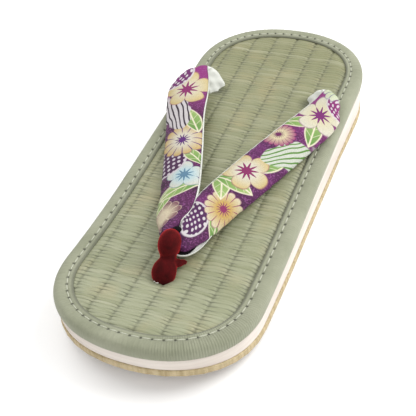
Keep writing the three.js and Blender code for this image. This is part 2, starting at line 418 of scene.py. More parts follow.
STRAP_ROWS = (
    StrapRow(-0.4, -62.5, 29.6, 6.8, 91, 12, 5.0),
    StrapRow(4.4, -60.4, 29.6, 9.6, 120, 16, 5.2),
    StrapRow(6.2, -49.4, 29.0, 9.8, 145, 17, 5.2),
    StrapRow(9.6, -35.6, 28.5, 10.0, 158, 18, 5.4),
    StrapRow(14.2, -21.8, 28.2, 10.4, 162, 19, 5.4),
    StrapRow(21.0, -3.0, 28.4, 10.6, 164, 19, 5.4),
    StrapRow(28.2, 15.8, 28.8, 10.6, 164, 17, 5.4),
    StrapRow(34.4, 31.8, 29.6, 10.6, 160, 11, 5.0),
    StrapRow(38.0, 42.4, 31.8, 10.2, 148, 6, 4.8),
    StrapRow(39.0, 50.2, 34.0, 9.6, 128, 4, 4.6),
    StrapRow(35.6, 54.4, 31.6, 8.8, 124, 2, 4.4),
    StrapRow(30.4, 55.2, 28.0, 7.4, 124, 0, 4.0),
    StrapRow(26.8, 55.0, 23.4, 6.2, 124, 0, 3.8),
    StrapRow(25.9, 54.8, 17.0, 5.6, 124, 0, 3.8),
)
# Where the right-hand tail goes down through the mat, and the post's place along Y
TAIL_SLIT = (26.0, 54.9)
POST_SLIT = -79.4


class Motif(Enum):
    """Figures of the straps' traditional garden print."""

    PLUM = "plum"
    ASTER = "aster"
    LEAF = "leaf"
    DOTS = "dots"
    WAVES = "waves"


@dataclass(frozen=True)
class Figure:
    """One figure of the print, placed on the strap's chart.

    along is counted from the front end and across from the middle towards the outer edge. size
    is the figure's radius and turn its angle in radians.
    """

    motif: Motif
    along: float
    across: float
    size: float
    turn: float = 0.0
    petals: int = 5
    inner: str = "#ddd6bf"
    outer: str = "#d9be7c"
    mark: str = "#8c2a78"


RIGHT_PRINT = (
    Figure(Motif.DOTS, 12, -4.5, 10.5, 0.4, 7, "#55215a", "#4a1a4e", "#d8d1d3"),
    Figure(Motif.LEAF, 20, 7, 9, -0.9),
    Figure(Motif.ASTER, 28, 4.5, 10.5, 0.2, 14, "#c9a75c", "#dcd3b4", "#8c285e"),
    Figure(Motif.LEAF, 39, -6, 11, 2.5),
    Figure(Motif.LEAF, 43, -2, 11, 1.4),
    Figure(Motif.LEAF, 66, 3, 12, 0.2),
    Figure(Motif.PLUM, 53, -2.5, 12, 0.3, 5, "#dad6c4", "#d2bb7c", "#8a2460"),
    Figure(Motif.WAVES, 76, 6, 12, 0.5, 8, "#d3d9cc", "#cfd4c6", "#5f8c3c"),
    Figure(Motif.ASTER, 83, -7, 9, 0.9, 18, "#dcd0a8", "#9c2f74", "#6d1c58"),
    Figure(Motif.LEAF, 97, -6, 11, 1.1),
    Figure(Motif.LEAF, 97, 4, 11.5, -0.4),
    Figure(Motif.PLUM, 108, 0.5, 13, 0.9, 5, "#dad3b0", "#dcd8c6", "#7c2470"),
    Figure(Motif.DOTS, 122, 7, 9, 0.2, 6, "#8f2f76", "#862c70", "#ddd2d8"),
    Figure(Motif.ASTER, 129, -3, 10, 0.0, 12, "#b9cf94", "#d9dbc4", "#58408c"),
    Figure(Motif.PLUM, 146, 2, 9, 0.5, 5, "#dfc887", "#dad6c4", "#8a2460"),
)
LEFT_PRINT = (
    Figure(Motif.ASTER, 14, 4, 10, 0.5, 10, "#ddd0b0", "#6a1a48", "#dccbb0"),
    Figure(Motif.LEAF, 27, 6, 10.5, 2.6),
    Figure(Motif.LEAF, 31, -1, 11, 1.9),
    Figure(Motif.PLUM, 41, -3.5, 10, 0.0, 5, "#b7d3da", "#d9d6c6", "#5e86a0"),
    Figure(Motif.DOTS, 54, 6, 10.5, 0.1, 6, "#4c1a4d", "#431745", "#d6ccd4"),
    Figure(Motif.LEAF, 55, -7, 9, 0.7),
    Figure(Motif.ASTER, 68, -1, 12.5, 0.3, 12, "#dbd5c2", "#cbaa62", "#5e2478"),
    Figure(Motif.LEAF, 83, -6, 11, 0.3),
    Figure(Motif.WAVES, 93, 4, 13, 0.2, 7, "#d8d2d4", "#d4ced0", "#2c1a2c"),
    Figure(Motif.PLUM, 109, -1, 12, 1.2, 5, "#d9d2b8", "#d2bb7c", "#8c2a68"),
    Figure(Motif.DOTS, 122, 6, 9.5, 0.7, 7, "#7a2c72", "#6c2766", "#d8d1d3"),
    Figure(Motif.ASTER, 132, -3, 10, 0.1, 16, "#c9a75c", "#dcd3b4", "#8c285e"),
    Figure(Motif.LEAF, 143, 3, 9, 0.8),
)


@dataclass(frozen=True)
class Finish:
    """What every finish has in common.

    Sizes, pitches and reliefs are millimetres, and a strength is the relief's share that shows. A
    field in _at holds the pattern's values between which a tone comes in, up to its share or shade.
    """

    name: str

    def make(self) -> bpy.types.Material:
        """Makes the material.

        Returns:
            The material, its shader fed by the patterns.
        """
        material = bpy.data.materials.new(self.name)
        material.use_nodes = True
        tree = material.node_tree
        tree.nodes.clear()
        add(tree, "OutputMaterial", add(tree, "BsdfPrincipled", **self.draw(tree)))
        return material

    def draw(self, tree: Tree) -> dict[str, Value]:
        """Draws the patterns and returns the principled shader's inputs."""
        raise NotImplementedError


@dataclass(frozen=True)
class MouldedRubber(Finish):
    """Vulcanised rubber from a mould: dense and dull, paler and scored upright on its cut side.

    The paint's X is the share of cut side and its Y the share of painted shade in the grooves.
    """

    side_light: str = "#b4a380"
    side_dark: str = "#998862"
    under_light: str = "#9c8665"
    under_dark: str = "#826a4c"
    # Painted shade for the groove floors
    groove: str = "#4d3b28"
    dust: str = "#c6b595"
    cloud: float = 22.2
    # Real grit is near 0.2 mm and a blade's scores near 0.5 mm. Both are drawn coarser to show.
    grit: float = 0.7
    score: float = 1.3
    score_height: float = 25.0
    light_at: Pair = (0.35, 0.6)
    dust_at: Pair = (0.55, 0.75)
    dust_share: float = 0.3
    relief: float = 0.15
    strength: float = 0.25
    ior: float = 1.52
    roughness: float = 0.72

    def draw(self, tree: Tree) -> dict[str, Value]:
        """Draws the patterns.

        Args:
            tree: The material's node tree.

        Returns:
            The principled shader's inputs.
        """
        place = add(tree, "TexCoord").outputs["Object"]
        cloud = add(tree, "TexNoise", place, Scale=per(self.cloud), Detail=4.0)
        upright = add(tree, "Mapping", place,
                      Scale=(per(self.score), per(self.score), per(self.score_height)))
        scores = add(tree, "TexNoise", upright, Scale=1.0, Detail=2.0)
        scored = add(tree, "MapRange", scores, *self.light_at)
        side = add(tree, "Mix", scored, self.side_dark, self.side_light, data_type="RGBA")
        under = add(tree, "Mix", cloud, self.under_dark, self.under_light, data_type="RGBA")
        paint = add(tree, "Attribute", attribute_name="paint").outputs["Vector"]
        share = add(tree, "SeparateXYZ", paint).outputs
        # Painted shade: the groove tone darkens the recesses of the tread.
        groove_shade = add(tree, "Mix", share["Y"], under, self.groove, data_type="RGBA")
        tone = add(tree, "Mix", share["X"], groove_shade, side, data_type="RGBA")
        grit = add(tree, "TexNoise", place, Scale=per(self.grit), Detail=2.0)
        worn = add(tree, "MapRange", grit, *self.dust_at, 0.0, self.dust_share)
        dusty = add(tree, "Mix", worn, tone, self.dust, data_type="RGBA")
        bump = add(tree, "Bump", Height=grit, Strength=self.strength,
                   Distance=self.relief * MM)
        return dict(Base_Color=dusty, Normal=bump, Roughness=self.roughness, IOR=self.ior)


@dataclass(frozen=True)
class CutFoam(Finish):
    """Closed-cell foam cut with a blade: soft off-white, with faint level marks and fine cells."""

    light: str = "#d2c9c0"
    dark: str = "#c0b5ab"
    cloud: float = 33.3
    mark_long: float = 167.0
    mark_pitch: float = 1.6
    # Real cells are near 0.15 mm and are drawn coarser to show.
    cell: float = 0.35
    cell_relief: float = 0.08
    cell_strength: float = 0.3
    mark_relief: float = 0.12
    mark_strength: float = 0.35
    light_at: Pair = (0.12, 0.34)
    roughness: float = 0.62

    def draw(self, tree: Tree) -> dict[str, Value]:
        """Draws the patterns.

        Args:
            tree: The material's node tree.

        Returns:
            The principled shader's inputs.
        """
        place = add(tree, "TexCoord").outputs["Object"]
        cloud = add(tree, "TexNoise", place, Scale=per(self.cloud), Detail=3.0)
        level = add(tree, "Mapping", place,
                    Scale=(per(self.mark_long), per(self.mark_long), per(self.mark_pitch)))
        marks = add(tree, "TexNoise", level, Scale=1.0, Detail=3.0)
        both = add(tree, "Math", cloud, marks, operation="MULTIPLY")
        share = add(tree, "MapRange", both, *self.light_at)
        tone = add(tree, "Mix", share, self.dark, self.light, data_type="RGBA")
        cells = add(tree, "TexVoronoi", place, Scale=per(self.cell))
        fine = add(tree, "Bump", Height=cells, Strength=self.cell_strength,
                   Distance=self.cell_relief * MM)
        bump = add(tree, "Bump", Height=marks, Strength=self.mark_strength,
                   Distance=self.mark_relief * MM, Normal=fine)
        return dict(Base_Color=tone, Normal=bump, Roughness=self.roughness)


@dataclass(frozen=True)
class WovenRush(Finish):
    """Woven rush: crosswise strands of uneven green and straw, with painted shade where they dip.

    The paint's X is a strand's tone; its Y, the depth in a gap or a dent, and its Z, the nearness
    of a tie, lay painted shade.
    """

    fresh: str = "#8f9277"
    ripe: str = "#7b7b58"
    pale: str = "#9d9d83"
    olive: str = "#757957"
    shade: str = "#373a24"
    straw: str = "#a3946c"
    ripens_over: float = 90.0
    patch: float = 18.2
    # A rush's own fibres are near 0.2 mm and are drawn coarser to show.
    fibre: Triple = (11.1, 0.4, 3.33)
    relief: float = 0.14
    strength: float = 0.7
    roughness: float = 0.52
    sheen: float = 0.15

    def draw(self, tree: Tree) -> dict[str, Value]:
        """Draws the patterns.

        Args:
            tree: The material's node tree.

        Returns:
            The principled shader's inputs.
        """
        place = add(tree, "TexCoord").outputs["Object"]
        paint = add(tree, "Attribute", attribute_name="paint").outputs["Vector"]
        strand = add(tree, "SeparateXYZ", paint).outputs
        along = add(tree, "SeparateXYZ", place).outputs["Y"]
        patch = add(tree, "TexNoise", place, Scale=per(self.patch), Detail=3.0)
        lengthwise = add(tree, "Mapping", place, Scale=tuple(per(size) for size in self.fibre))
        fibres = add(tree, "TexNoise", lengthwise, Scale=1.0, Detail=3.0)
        # Each tone, and the pattern that lays it over the last, with its range and its shares
        layers = (
            (self.ripe, (along, -self.ripens_over * MM, self.ripens_over * MM)),
            (self.straw, (patch, 0.5, 0.75, 0.0, 0.5)),
            (self.pale, (strand["X"], 0.5, 1.0, 0.0, 0.75)),
            (self.olive, (strand["X"], 0.5, 0.0, 0.0, 0.7)),
            (self.olive, (fibres, 0.46, 0.72, 0.0, 0.75)),
            # Painted shade: the shade tone darkens the gaps, the dents and the strands pressed down
            # at the ties.
            (self.shade, (strand["Y"], 0.15, 1.0, 0.0, 0.85)),
            (self.shade, (strand["Z"], 0.2, 1.0, 0.0, 0.45)),
        )
        tone = self.fresh
        for colour, span in layers:
            tone = add(tree, "Mix", add(tree, "MapRange", *span), tone, colour, data_type="RGBA")
        bump = add(tree, "Bump", Height=fibres, Strength=self.strength,
                   Distance=self.relief * MM)
        return dict(Base_Color=tone, Normal=bump, Roughness=self.roughness, Sheen_Weight=self.sheen)


@dataclass(frozen=True)
class WovenTape(Finish):
    """Cotton tape on the chart of its own length and width: weave, needle holes and the crease at
    the lip in painted shade, drawn-up ribs.
    """

    light: str = "#8f917c"
    dark: str = "#7c7f69"
    # Painted shade for the needle holes and for the crease at the lip
    painted_shade: str = "#34352a"
    cloud: float = 16.7
    slub: Pair = (0.7143, 4.0)
    slub_share: float = 0.35
    light_at: Pair = (0.45, 0.9)
    rib: float = 1.15
    rib_relief: float = 0.16
    rib_strength: float = 0.7
    # Real threads are near 0.25 mm apart and are drawn coarser to show.
    thread: float = 0.38
    thread_relief: float = 0.05
    thread_strength: float = 0.3
    stitch_pitch: float = 5.2
    stitch_line: float = 0.0
    hole_at: Pair = (0.8, 0.4)
    hole_shade: float = 0.85
    lip_at: Pair = (7.1, 7.9)
    lip_shade: float = 0.5
    # The ribs grow round the right side of the toe, where the tape is drawn up.
    corner_slope: float = -1.2
    corner_from: float = -124.0
    corner_full: float = -142.0
    elsewhere: float = 0.12
    roughness: float = 0.85
    sheen: float = 0.1

    def draw(self, tree: Tree) -> dict[str, Value]:
        """Draws the patterns.

        Args:
            tree: The material's node tree.

        Returns:
            The principled shader's inputs.
        """
        spots = add(tree, "TexCoord").outputs
        cloud = add(tree, "TexNoise", spots["Object"], Scale=per(self.cloud), Detail=4.0)
        drawn_out = add(tree, "Mapping", spots["UV"],
                        Scale=(1 / self.slub[0], 1 / self.slub[1], 1.0))
        slubs = add(tree, "TexNoise", drawn_out, Scale=1.0, Detail=2.0)
        both = add(tree, "Math", slubs, self.slub_share, cloud, operation="MULTIPLY_ADD")
        share = add(tree, "MapRange", both, *self.light_at)
        tone = add(tree, "Mix", share, self.dark, self.light, data_type="RGBA")
        chart = add(tree, "SeparateXYZ", spots["UV"]).outputs
        waves = []
        for way, pitch in (("X", self.thread), ("Y", self.thread), ("X", self.rib)):
            turn = add(tree, "Math", chart[way], math.tau / pitch, operation="MULTIPLY")
            waves.append(add(tree, "Math", turn, operation="SINE"))
        weave = add(tree, "Math", waves[0], waves[1], operation="MULTIPLY")
        fine = add(tree, "Bump", Height=weave, Strength=self.thread_strength,
                   Distance=self.thread_relief * MM)
        place = add(tree, "SeparateXYZ", spots["Object"]).outputs
        corner = add(tree, "Math", place["X"], self.corner_slope, place["Y"],
                     operation="MULTIPLY_ADD")
        gathered = add(tree, "MapRange", corner, self.corner_from * MM, self.corner_full * MM,
                       self.elsewhere, 1.0)
        ribs = add(tree, "Math", waves[2], gathered, operation="MULTIPLY")
        bump = add(tree, "Bump", Height=ribs, Strength=self.rib_strength,
                   Distance=self.rib_relief * MM, Normal=fine)
        step = add(tree, "Math", chart["X"], self.stitch_pitch, operation="MODULO")
        along = add(tree, "Math", step, self.stitch_pitch / 2, operation="SUBTRACT")
        across = add(tree, "Math", chart["Y"], self.stitch_line, operation="SUBTRACT")
        reach = add(tree, "CombineXYZ", along, across)
        away = add(tree, "VectorMath", reach, operation="LENGTH")
        # Painted shade: dark spots in the needle holes on the stitch line and a dark band in the
        # crease at the lip.
        painted_shade = add(tree, "MapRange", away, *self.hole_at, 0.0, self.hole_shade)
        lip = add(tree, "MapRange", chart["Y"], *self.lip_at, 0.0, self.lip_shade)
        dark = add(tree, "Math", painted_shade, lip, operation="MAXIMUM")
        colour = add(tree, "Mix", dark, tone, self.painted_shade, data_type="RGBA")
        return dict(Base_Color=colour, Normal=bump, Roughness=self.roughness,
                    Sheen_Weight=self.sheen)


@dataclass(frozen=True)
class PlainCloth(Finish):
    """A plain cloth, felt, thread or paper of one tone: matt, with its own fine grain.

    gloss is the shader's specular level, low for what takes in light.
    """

    light: str
    dark: str
    cloud: float = 8.33
    grain: float = 0.4
    relief: float = 0.06
    strength: float = 0.5
    roughness: float = 0.85
    sheen: float = 0.15
    gloss: float = 0.5

    def draw(self, tree: Tree) -> dict[str, Value]:
        """Draws the patterns.

        Args:
            tree: The material's node tree.

        Returns:
            The principled shader's inputs.
        """
        place = add(tree, "TexCoord").outputs["Object"]
        cloud = add(tree, "TexNoise", place, Scale=per(self.cloud), Detail=4.0)
        tone = add(tree, "Mix", cloud, self.dark, self.light, data_type="RGBA")
        grain = add(tree, "TexNoise", place, Scale=per(self.grain), Detail=2.0)
        bump = add(tree, "Bump", Height=grain, Strength=self.strength,
                   Distance=self.relief * MM)
        return dict(Base_Color=tone, Normal=bump, Roughness=self.roughness,
                    Sheen_Weight=self.sheen, Specular_IOR_Level=self.gloss)


@dataclass(frozen=True)
class Velvet(Finish):
    """Cotton velvet: a deep red pile that turns light at grazing angles and where it is crushed,
    with painted shade at its foot by the mat.
    """

    deep: str = "#2c0708"
    bright: str = "#490b0e"
    # Painted shade at the foot, where the post meets the mat
    foot: str = "#150405"
    rim: str = "#d8383a"
    foot_top: float = 23.6
    foot_low: float = 21.4
    foot_shade: float = 0.8
    crush: float = 3.2
    bright_at: Pair = (0.35, 0.75)
    # Real pile is finer than 0.1 mm and is drawn coarser to show.
    pile: float = 0.25
    relief: float = 0.12
    strength: float = 0.6
    roughness: float = 0.95
    sheen: float = 1.0
    sheen_roughness: float = 0.45
    gloss: float = 0.1

    def draw(self, tree: Tree) -> dict[str, Value]:
        """Draws the patterns.

        Args:
            tree: The material's node tree.

        Returns:
            The principled shader's inputs.
        """
        place = add(tree, "TexCoord").outputs["Object"]
        crushed = add(tree, "TexNoise", place, Scale=per(self.crush), Detail=3.0)
        share = add(tree, "MapRange", crushed, *self.bright_at)
        pile_tone = add(tree, "Mix", share, self.deep, self.bright, data_type="RGBA")
        # Painted shade: the pile darkens to the foot tone towards the mat.
        height = add(tree, "SeparateXYZ", place).outputs["Z"]
        low = add(tree, "MapRange", height, self.foot_top * MM, self.foot_low * MM, 0.0,
                  self.foot_shade)
        tone = add(tree, "Mix", low, pile_tone, self.foot, data_type="RGBA")
        pile = add(tree, "TexNoise", place, Scale=per(self.pile), Detail=2.0)
        bump = add(tree, "Bump", Height=pile, Strength=self.strength,
                   Distance=self.relief * MM)
        return dict(Base_Color=tone, Normal=bump, Roughness=self.roughness,
                    Sheen_Weight=self.sheen, Sheen_Roughness=self.sheen_roughness,
                    Sheen_Tint=self.rim, Specular_IOR_Level=self.gloss)


@dataclass(frozen=True)
class PrintedCrepe(Finish):
    """Silk crepe with a garden print: grains of a pebbled weave, with painted shade in its hollows,
    under drawn figures.

    The ground turns to the far tone between far_from and far_to along the strap's chart.
    """

    figures: tuple[Figure, ...]
    light: str
    dark: str
    far: str = "#8f2c78"
    far_from: float = 84.0
    far_to: float = 118.0
    fleck: str = "#a35a9c"
    speckle: float = 0.8
    fleck_at: Pair = (0.53, 0.64)
    fleck_share: float = 0.55
    # Real crepe has pebbles near 0.3 mm, which are drawn coarser to show.
    pebble: float = 0.5
    pebble_reach: float = 0.9
    pebble_shade: Pair = (0.8, 0.6)
    relief: float = 0.12
    strength: float = 0.55
    wash: float = 16.67
    light_at: Pair = (0.35, 0.65)
    roughness: float = 0.72
    sheen: float = 0.06
    gloss: float = 0.3

    def draw(self, tree: Tree) -> dict[str, Value]:
        """Draws the patterns.

        Args:
            tree: The material's node tree.

        Returns:
            The principled shader's inputs.
        """
        spots = add(tree, "TexCoord").outputs
        chart, place = spots["UV"], spots["Object"]
        wash = add(tree, "TexNoise", chart, Scale=1 / self.wash, Detail=3.0)
        washed = add(tree, "MapRange", wash, *self.light_at)
        tone = add(tree, "Mix", washed, self.dark, self.light, data_type="RGBA")
        along = add(tree, "SeparateXYZ", chart).outputs["X"]
        far = add(tree, "MapRange", along, self.far_from, self.far_to)
        ground = add(tree, "Mix", far, tone, self.far, data_type="RGBA")
        grains = add(tree, "TexNoise", place, Scale=per(self.speckle), Detail=2.0)
        speck = add(tree, "MapRange", grains, *self.fleck_at, 0.0, self.fleck_share)
        colour = add(tree, "Mix", speck, ground, self.fleck, data_type="RGBA")
        for figure in self.figures:
            local = add(tree, "Mapping", chart, Location=(figure.along, figure.across, 0),
                        Rotation=(0, 0, figure.turn), Scale=(figure.size, figure.size, 1),
                        vector_type="TEXTURE")
            drawn = add(tree, "Group", local, float(figure.petals), figure.inner, figure.outer,
                        figure.mark, node_tree=MOTIF_GROUPS[figure.motif].group()).outputs
            colour = add(tree, "Mix", drawn["Mask"], colour, drawn["Color"], data_type="RGBA")
        # Painted shade: the colour darkens from each pebble's middle towards the hollows between
        # pebbles.
        pebbles = add(tree, "TexVoronoi", place, Scale=per(self.pebble))
        fade = add(tree, "MapRange", pebbles, 0.0, self.pebble_reach, *self.pebble_shade)
        woven = add(tree, "Mix", 1.0, colour, fade, data_type="RGBA", blend_type="MULTIPLY")
        bump = add(tree, "Bump", Height=pebbles, Strength=self.strength,
                   Distance=self.relief * MM, invert=True)
        return dict(Base_Color=woven, Normal=bump, Roughness=self.roughness,
                    Sheen_Weight=self.sheen, Specular_IOR_Level=self.gloss)


@dataclass(frozen=True)
class MotifGroup:
    """A drawn figure as a node group, on a chart where the figure's radius is 1.

    Its sizes are shares of that radius, and a pair is where something starts and where it is full.
    """

    name: str

    def group(self) -> Tree:
        """Makes the group at its first use.

        Returns:
            The group's node tree.
        """
        known = bpy.data.node_groups.get(self.name)
        if known:
            return known
        tree = bpy.data.node_groups.new(self.name, "ShaderNodeTree")
        faces = (("Place", "INPUT", "Vector"), ("Petals", "INPUT", "Float"),
                 ("Inner", "INPUT", "Color"), ("Outer", "INPUT", "Color"),
                 ("Mark", "INPUT", "Color"), ("Color", "OUTPUT", "Color"),
                 ("Mask", "OUTPUT", "Float"))
        for name, way, kind in faces:
            tree.interface.new_socket(name, in_out=way, socket_type=f"NodeSocket{kind}")
        given = {socket.name: socket for socket in add(tree, "NodeGroupInput").outputs}
        add(tree, "NodeGroupOutput", *self.draw(tree, given))
        return tree

    def draw(self, tree: Tree, given: Sockets) -> Drawn:
        """Draws the figure from the given sockets and returns its colour and its mask."""
        raise NotImplementedError


@dataclass(frozen=True)
class Flower(MotifGroup):
    """A flower seen from above: rounded petals, drawn lines between them and a centre."""

    notch: float
    centre: float
    line: float
    spokes: float
    roundness: float = 1.6
    blush: Pair = (0.35, 0.95)
    outline: Pair = (0.09, 0.04)
    outline_share: float = 0.7
    line_core: float = 0.4
    line_start: float = 0.15
    stamen_core: float = 0.2
    stamen_reach: float = 1.3
    fade: float = 0.05

    def draw(self, tree: Tree, given: Sockets) -> Drawn:
        """Draws the figure.

        Args:
            tree: The group's node tree.
            given: The group's inputs, by their names.

        Returns:
            The figure's colour and its mask.
        """
        spot = add(tree, "SeparateXYZ", given["Place"]).outputs
        away = add(tree, "VectorMath", given["Place"], operation="LENGTH")
        turn = add(tree, "Math", spot["Y"], spot["X"], operation="ARCTAN2")
        half = add(tree, "Math", given["Petals"], 0.5, operation="MULTIPLY")
        phase = add(tree, "Math", turn, half, operation="MULTIPLY")
        wave = add(tree, "Math", phase, operation="COSINE")
        lobe = add(tree, "Math", wave, operation="ABSOLUTE")
        dip = add(tree, "Math", 1.0, lobe, operation="SUBTRACT")
        bend = add(tree, "Math", dip, self.roundness, operation="POWER")
        rim = add(tree, "Math", bend, -self.notch, 1.0, operation="MULTIPLY_ADD")
        inside = add(tree, "Math", rim, away, operation="SUBTRACT")
        mask = add(tree, "MapRange", inside, 0.0, self.fade)
        blend = add(tree, "MapRange", away, *self.blush)
        petal = add(tree, "Mix", blend, given["Inner"], given["Outer"], data_type="RGBA")
        thin = add(tree, "MapRange", lobe, self.line, self.line * self.line_core)
        beyond = add(tree, "MapRange", away, self.centre, self.centre + self.line_start)
        lines = add(tree, "Math", thin, beyond, operation="MULTIPLY")
        edge = add(tree, "MapRange", inside, *self.outline, 0.0, self.outline_share)
        drawn = add(tree, "Math", lines, edge, operation="MAXIMUM")
        lined = add(tree, "Mix", drawn, petal, given["Mark"], data_type="RGBA")
        spokes = add(tree, "Math", phase, self.spokes, operation="MULTIPLY")
        ripple = add(tree, "Math", spokes, operation="SINE")
        rays = add(tree, "Math", ripple, operation="ABSOLUTE")
        reach = add(tree, "MapRange", away, self.centre * self.stamen_core, self.centre,
                    self.stamen_reach, 0.0)
        stamens = add(tree, "Math", rays, reach, operation="LESS_THAN")
        return add(tree, "Mix", stamens, lined, given["Mark"], data_type="RGBA"), mask


@dataclass(frozen=True)
class Leaf(MotifGroup):
    """A pointed leaf with a midrib and side veins."""

    width: float = 0.42
    vein_pitch: float = 0.22
    vein_slant: float = -1.1
    vein: Pair = (0.035, 0.01)
    vein_share: float = 0.6
    midrib: Pair = (0.05, 0.02)
    ripening: Pair = (-0.9, 0.9)
    outline: Pair = (0.1, 0.06)
    fade: float = 0.04
    stem_tone: str = "#5c8f3f"
    tip_tone: str = "#a8c274"
    vein_tone: str = "#ece5c8"

    def draw(self, tree: Tree, given: Sockets) -> Drawn:
        """Draws the figure.

        Args:
            tree: The group's node tree.
            given: The group's inputs, by their names.

        Returns:
            The figure's colour and its mask.
        """
        spot = add(tree, "SeparateXYZ", given["Place"]).outputs
        aside = add(tree, "Math", spot["Y"], operation="ABSOLUTE")
        square = add(tree, "Math", spot["X"], spot["X"], operation="MULTIPLY")
        side = add(tree, "Math", square, -self.width, self.width, operation="MULTIPLY_ADD")
        inside = add(tree, "Math", side, aside, operation="SUBTRACT")
        mask = add(tree, "MapRange", inside, 0.0, self.fade)
        blend = add(tree, "MapRange", spot["X"], *self.ripening)
        blade = add(tree, "Mix", blend, self.stem_tone, self.tip_tone, data_type="RGBA")
        slant = add(tree, "Math", aside, self.vein_slant, spot["X"], operation="MULTIPLY_ADD")
        veins = add(tree, "Math", slant, self.vein_pitch, operation="PINGPONG")
        vein = add(tree, "MapRange", veins, *self.vein, 0.0, self.vein_share)
        rib = add(tree, "MapRange", aside, *self.midrib)
        edge = add(tree, "MapRange", inside, *self.outline)
        veined = add(tree, "Math", vein, rib, operation="MAXIMUM")
        drawn = add(tree, "Math", veined, edge, operation="MAXIMUM")
        return add(tree, "Mix", drawn, blade, self.vein_tone, data_type="RGBA"), mask


@dataclass(frozen=True)
class Roundel(MotifGroup):
    """A round patch filled with dots."""

    dots: float = 3.4
    unevenness: float = 0.15
    dot: Pair = (0.34, 0.26)
    ring: Pair = (0.86, 0.9)
    fade: float = 0.05

    def draw(self, tree: Tree, given: Sockets) -> Drawn:
        """Draws the figure.

        Args:
            tree: The group's node tree.
            given: The group's inputs, by their names.

        Returns:
            The figure's colour and its mask.
        """
        away = add(tree, "VectorMath", given["Place"], operation="LENGTH")
        mask = add(tree, "MapRange", away, 1.0, 1 - self.fade)
        cells = add(tree, "TexVoronoi", given["Place"], Scale=self.dots,
                    Randomness=self.unevenness)
        dot = add(tree, "MapRange", cells, *self.dot)
        rim = add(tree, "MapRange", away, *self.ring)
        blend = add(tree, "Mix", away, given["Inner"], given["Outer"], data_type="RGBA")
        drawn = add(tree, "Math", dot, rim, operation="MAXIMUM")
        return add(tree, "Mix", drawn, blend, given["Mark"], data_type="RGBA"), mask


@dataclass(frozen=True)
class Stream(MotifGroup):
    """A drifting cloud of parallel wave lines."""

    bands: float = 1.6
    drift: float = 1.6
    bend: float = 3.0
    squash: Triple = (0.75, 1.5, 1.0)
    wander: float = 0.7
    shore: Pair = (1.3, 1.24)
    line: Pair = (0.72, 0.8)

    def draw(self, tree: Tree, given: Sockets) -> Drawn:
        """Draws the figure.

        Args:
            tree: The group's node tree.
            given: The group's inputs, by their names.

        Returns:
            The figure's colour and its mask.
        """
        squash = add(tree, "Mapping", given["Place"], Scale=self.squash)
        away = add(tree, "VectorMath", squash, operation="LENGTH")
        uneven = add(tree, "TexNoise", given["Place"], Scale=self.drift, Detail=0.0)
        soft = add(tree, "Math", uneven, self.wander, away, operation="MULTIPLY_ADD")
        mask = add(tree, "MapRange", soft, *self.shore)
        waves = add(tree, "TexWave", given["Place"], Scale=self.bands, Distortion=self.bend,
                    Detail=0.0, Detail_Scale=1.0, bands_direction="Y")
        line = add(tree, "MapRange", waves.outputs["Fac"], *self.line)
        return add(tree, "Mix", line, given["Outer"], given["Mark"], data_type="RGBA"), mask


MOTIF_GROUPS = {
    Motif.PLUM: Flower("plum blossom", notch=0.34, centre=0.5, line=0.1, spokes=2.0),
    Motif.ASTER: Flower("aster", notch=0.16, centre=0.38, line=0.26, spokes=1.0),
    Motif.LEAF: Leaf("leaf"),
    Motif.DOTS: Roundel("dotted roundel"),
    Motif.WAVES: Stream("stream"),
}


@dataclass
class Tread:
    """The rubber outsole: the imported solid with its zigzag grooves, in a moulded finish."""

    crease: float = 28.0
    side_depth: float = 0.5
    groove_from: float = 1.2
    groove_full: float = 1.5
    groove_shade_share: float = 0.7

    def build(self) -> None:
        """Makes the piece."""
        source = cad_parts["outsole"]
        piece = bpy.data.objects.new("tread_sole", source.data.copy())
        bpy.context.scene.collection.objects.link(piece)
        close_up(piece)
        x, y, z = points_of(piece.data).T / MM
        side = np.where(FORM.depth_inside(x, y) < self.side_depth, 1.0, 0.0)
        # The groove floors get a share of painted shade, which the finish lays in the groove tone.
        groove_shade = smooth(self.groove_from, self.groove_full, z - FORM.spring(y))
        paint_on(piece.data, np.c_[side, self.groove_shade_share * groove_shade, np.zeros_like(side)])
        bpy.ops.mesh.customdata_custom_splitnormals_clear()
        bpy.ops.object.shade_smooth_by_angle(angle=math.radians(self.crease))
        settle(piece, MouldedRubber("moulded rubber").make(), Slot.RUBBER, "outsole")


@dataclass
class Wedge:
    """The foam midsole: a wedge with a gently bellied side."""

    inset: float = 0.6
    bottom: float = 4.3
    below_edge: float = 7.5
    belly: float = 0.25
    top_draw: float = 0.25
    top_draw_wide: float = 0.06
    side_height: float = 12.0
    steps: tuple[int, int] = (520, 16)

    def surface(self, u: Array, v: Array) -> Array:
        """Lays the side.

        Args:
            u: Shares of the way round.
            v: Shares of the way from the bottom edge up to the top edge.

        Returns:
            One point for each pair.
        """
        inset = self.inset - self.belly * np.sin(np.pi * v)
        inset = inset + self.top_draw * bump_at(v, 1, self.top_draw_wide)
        x, y = FORM.around(u, inset)
        low = FORM.spring(y) + self.bottom
        high = FORM.edge_top(y) - self.below_edge
        return np.c_[x, y, low + (high - low) * v]

    def chart(self, u: Array, v: Array) -> Array:
        """Returns the distance round and the height."""
        return np.c_[u * FORM.rail[2], v * self.side_height]

    def build(self) -> None:
        """Makes the piece."""
        piece = lay_grid("foam_wedge", self.steps, self.surface, self.chart, cap_holes=True)
        settle(piece, CutFoam("cut foam").make(), Slot.FOAM, "midsole")


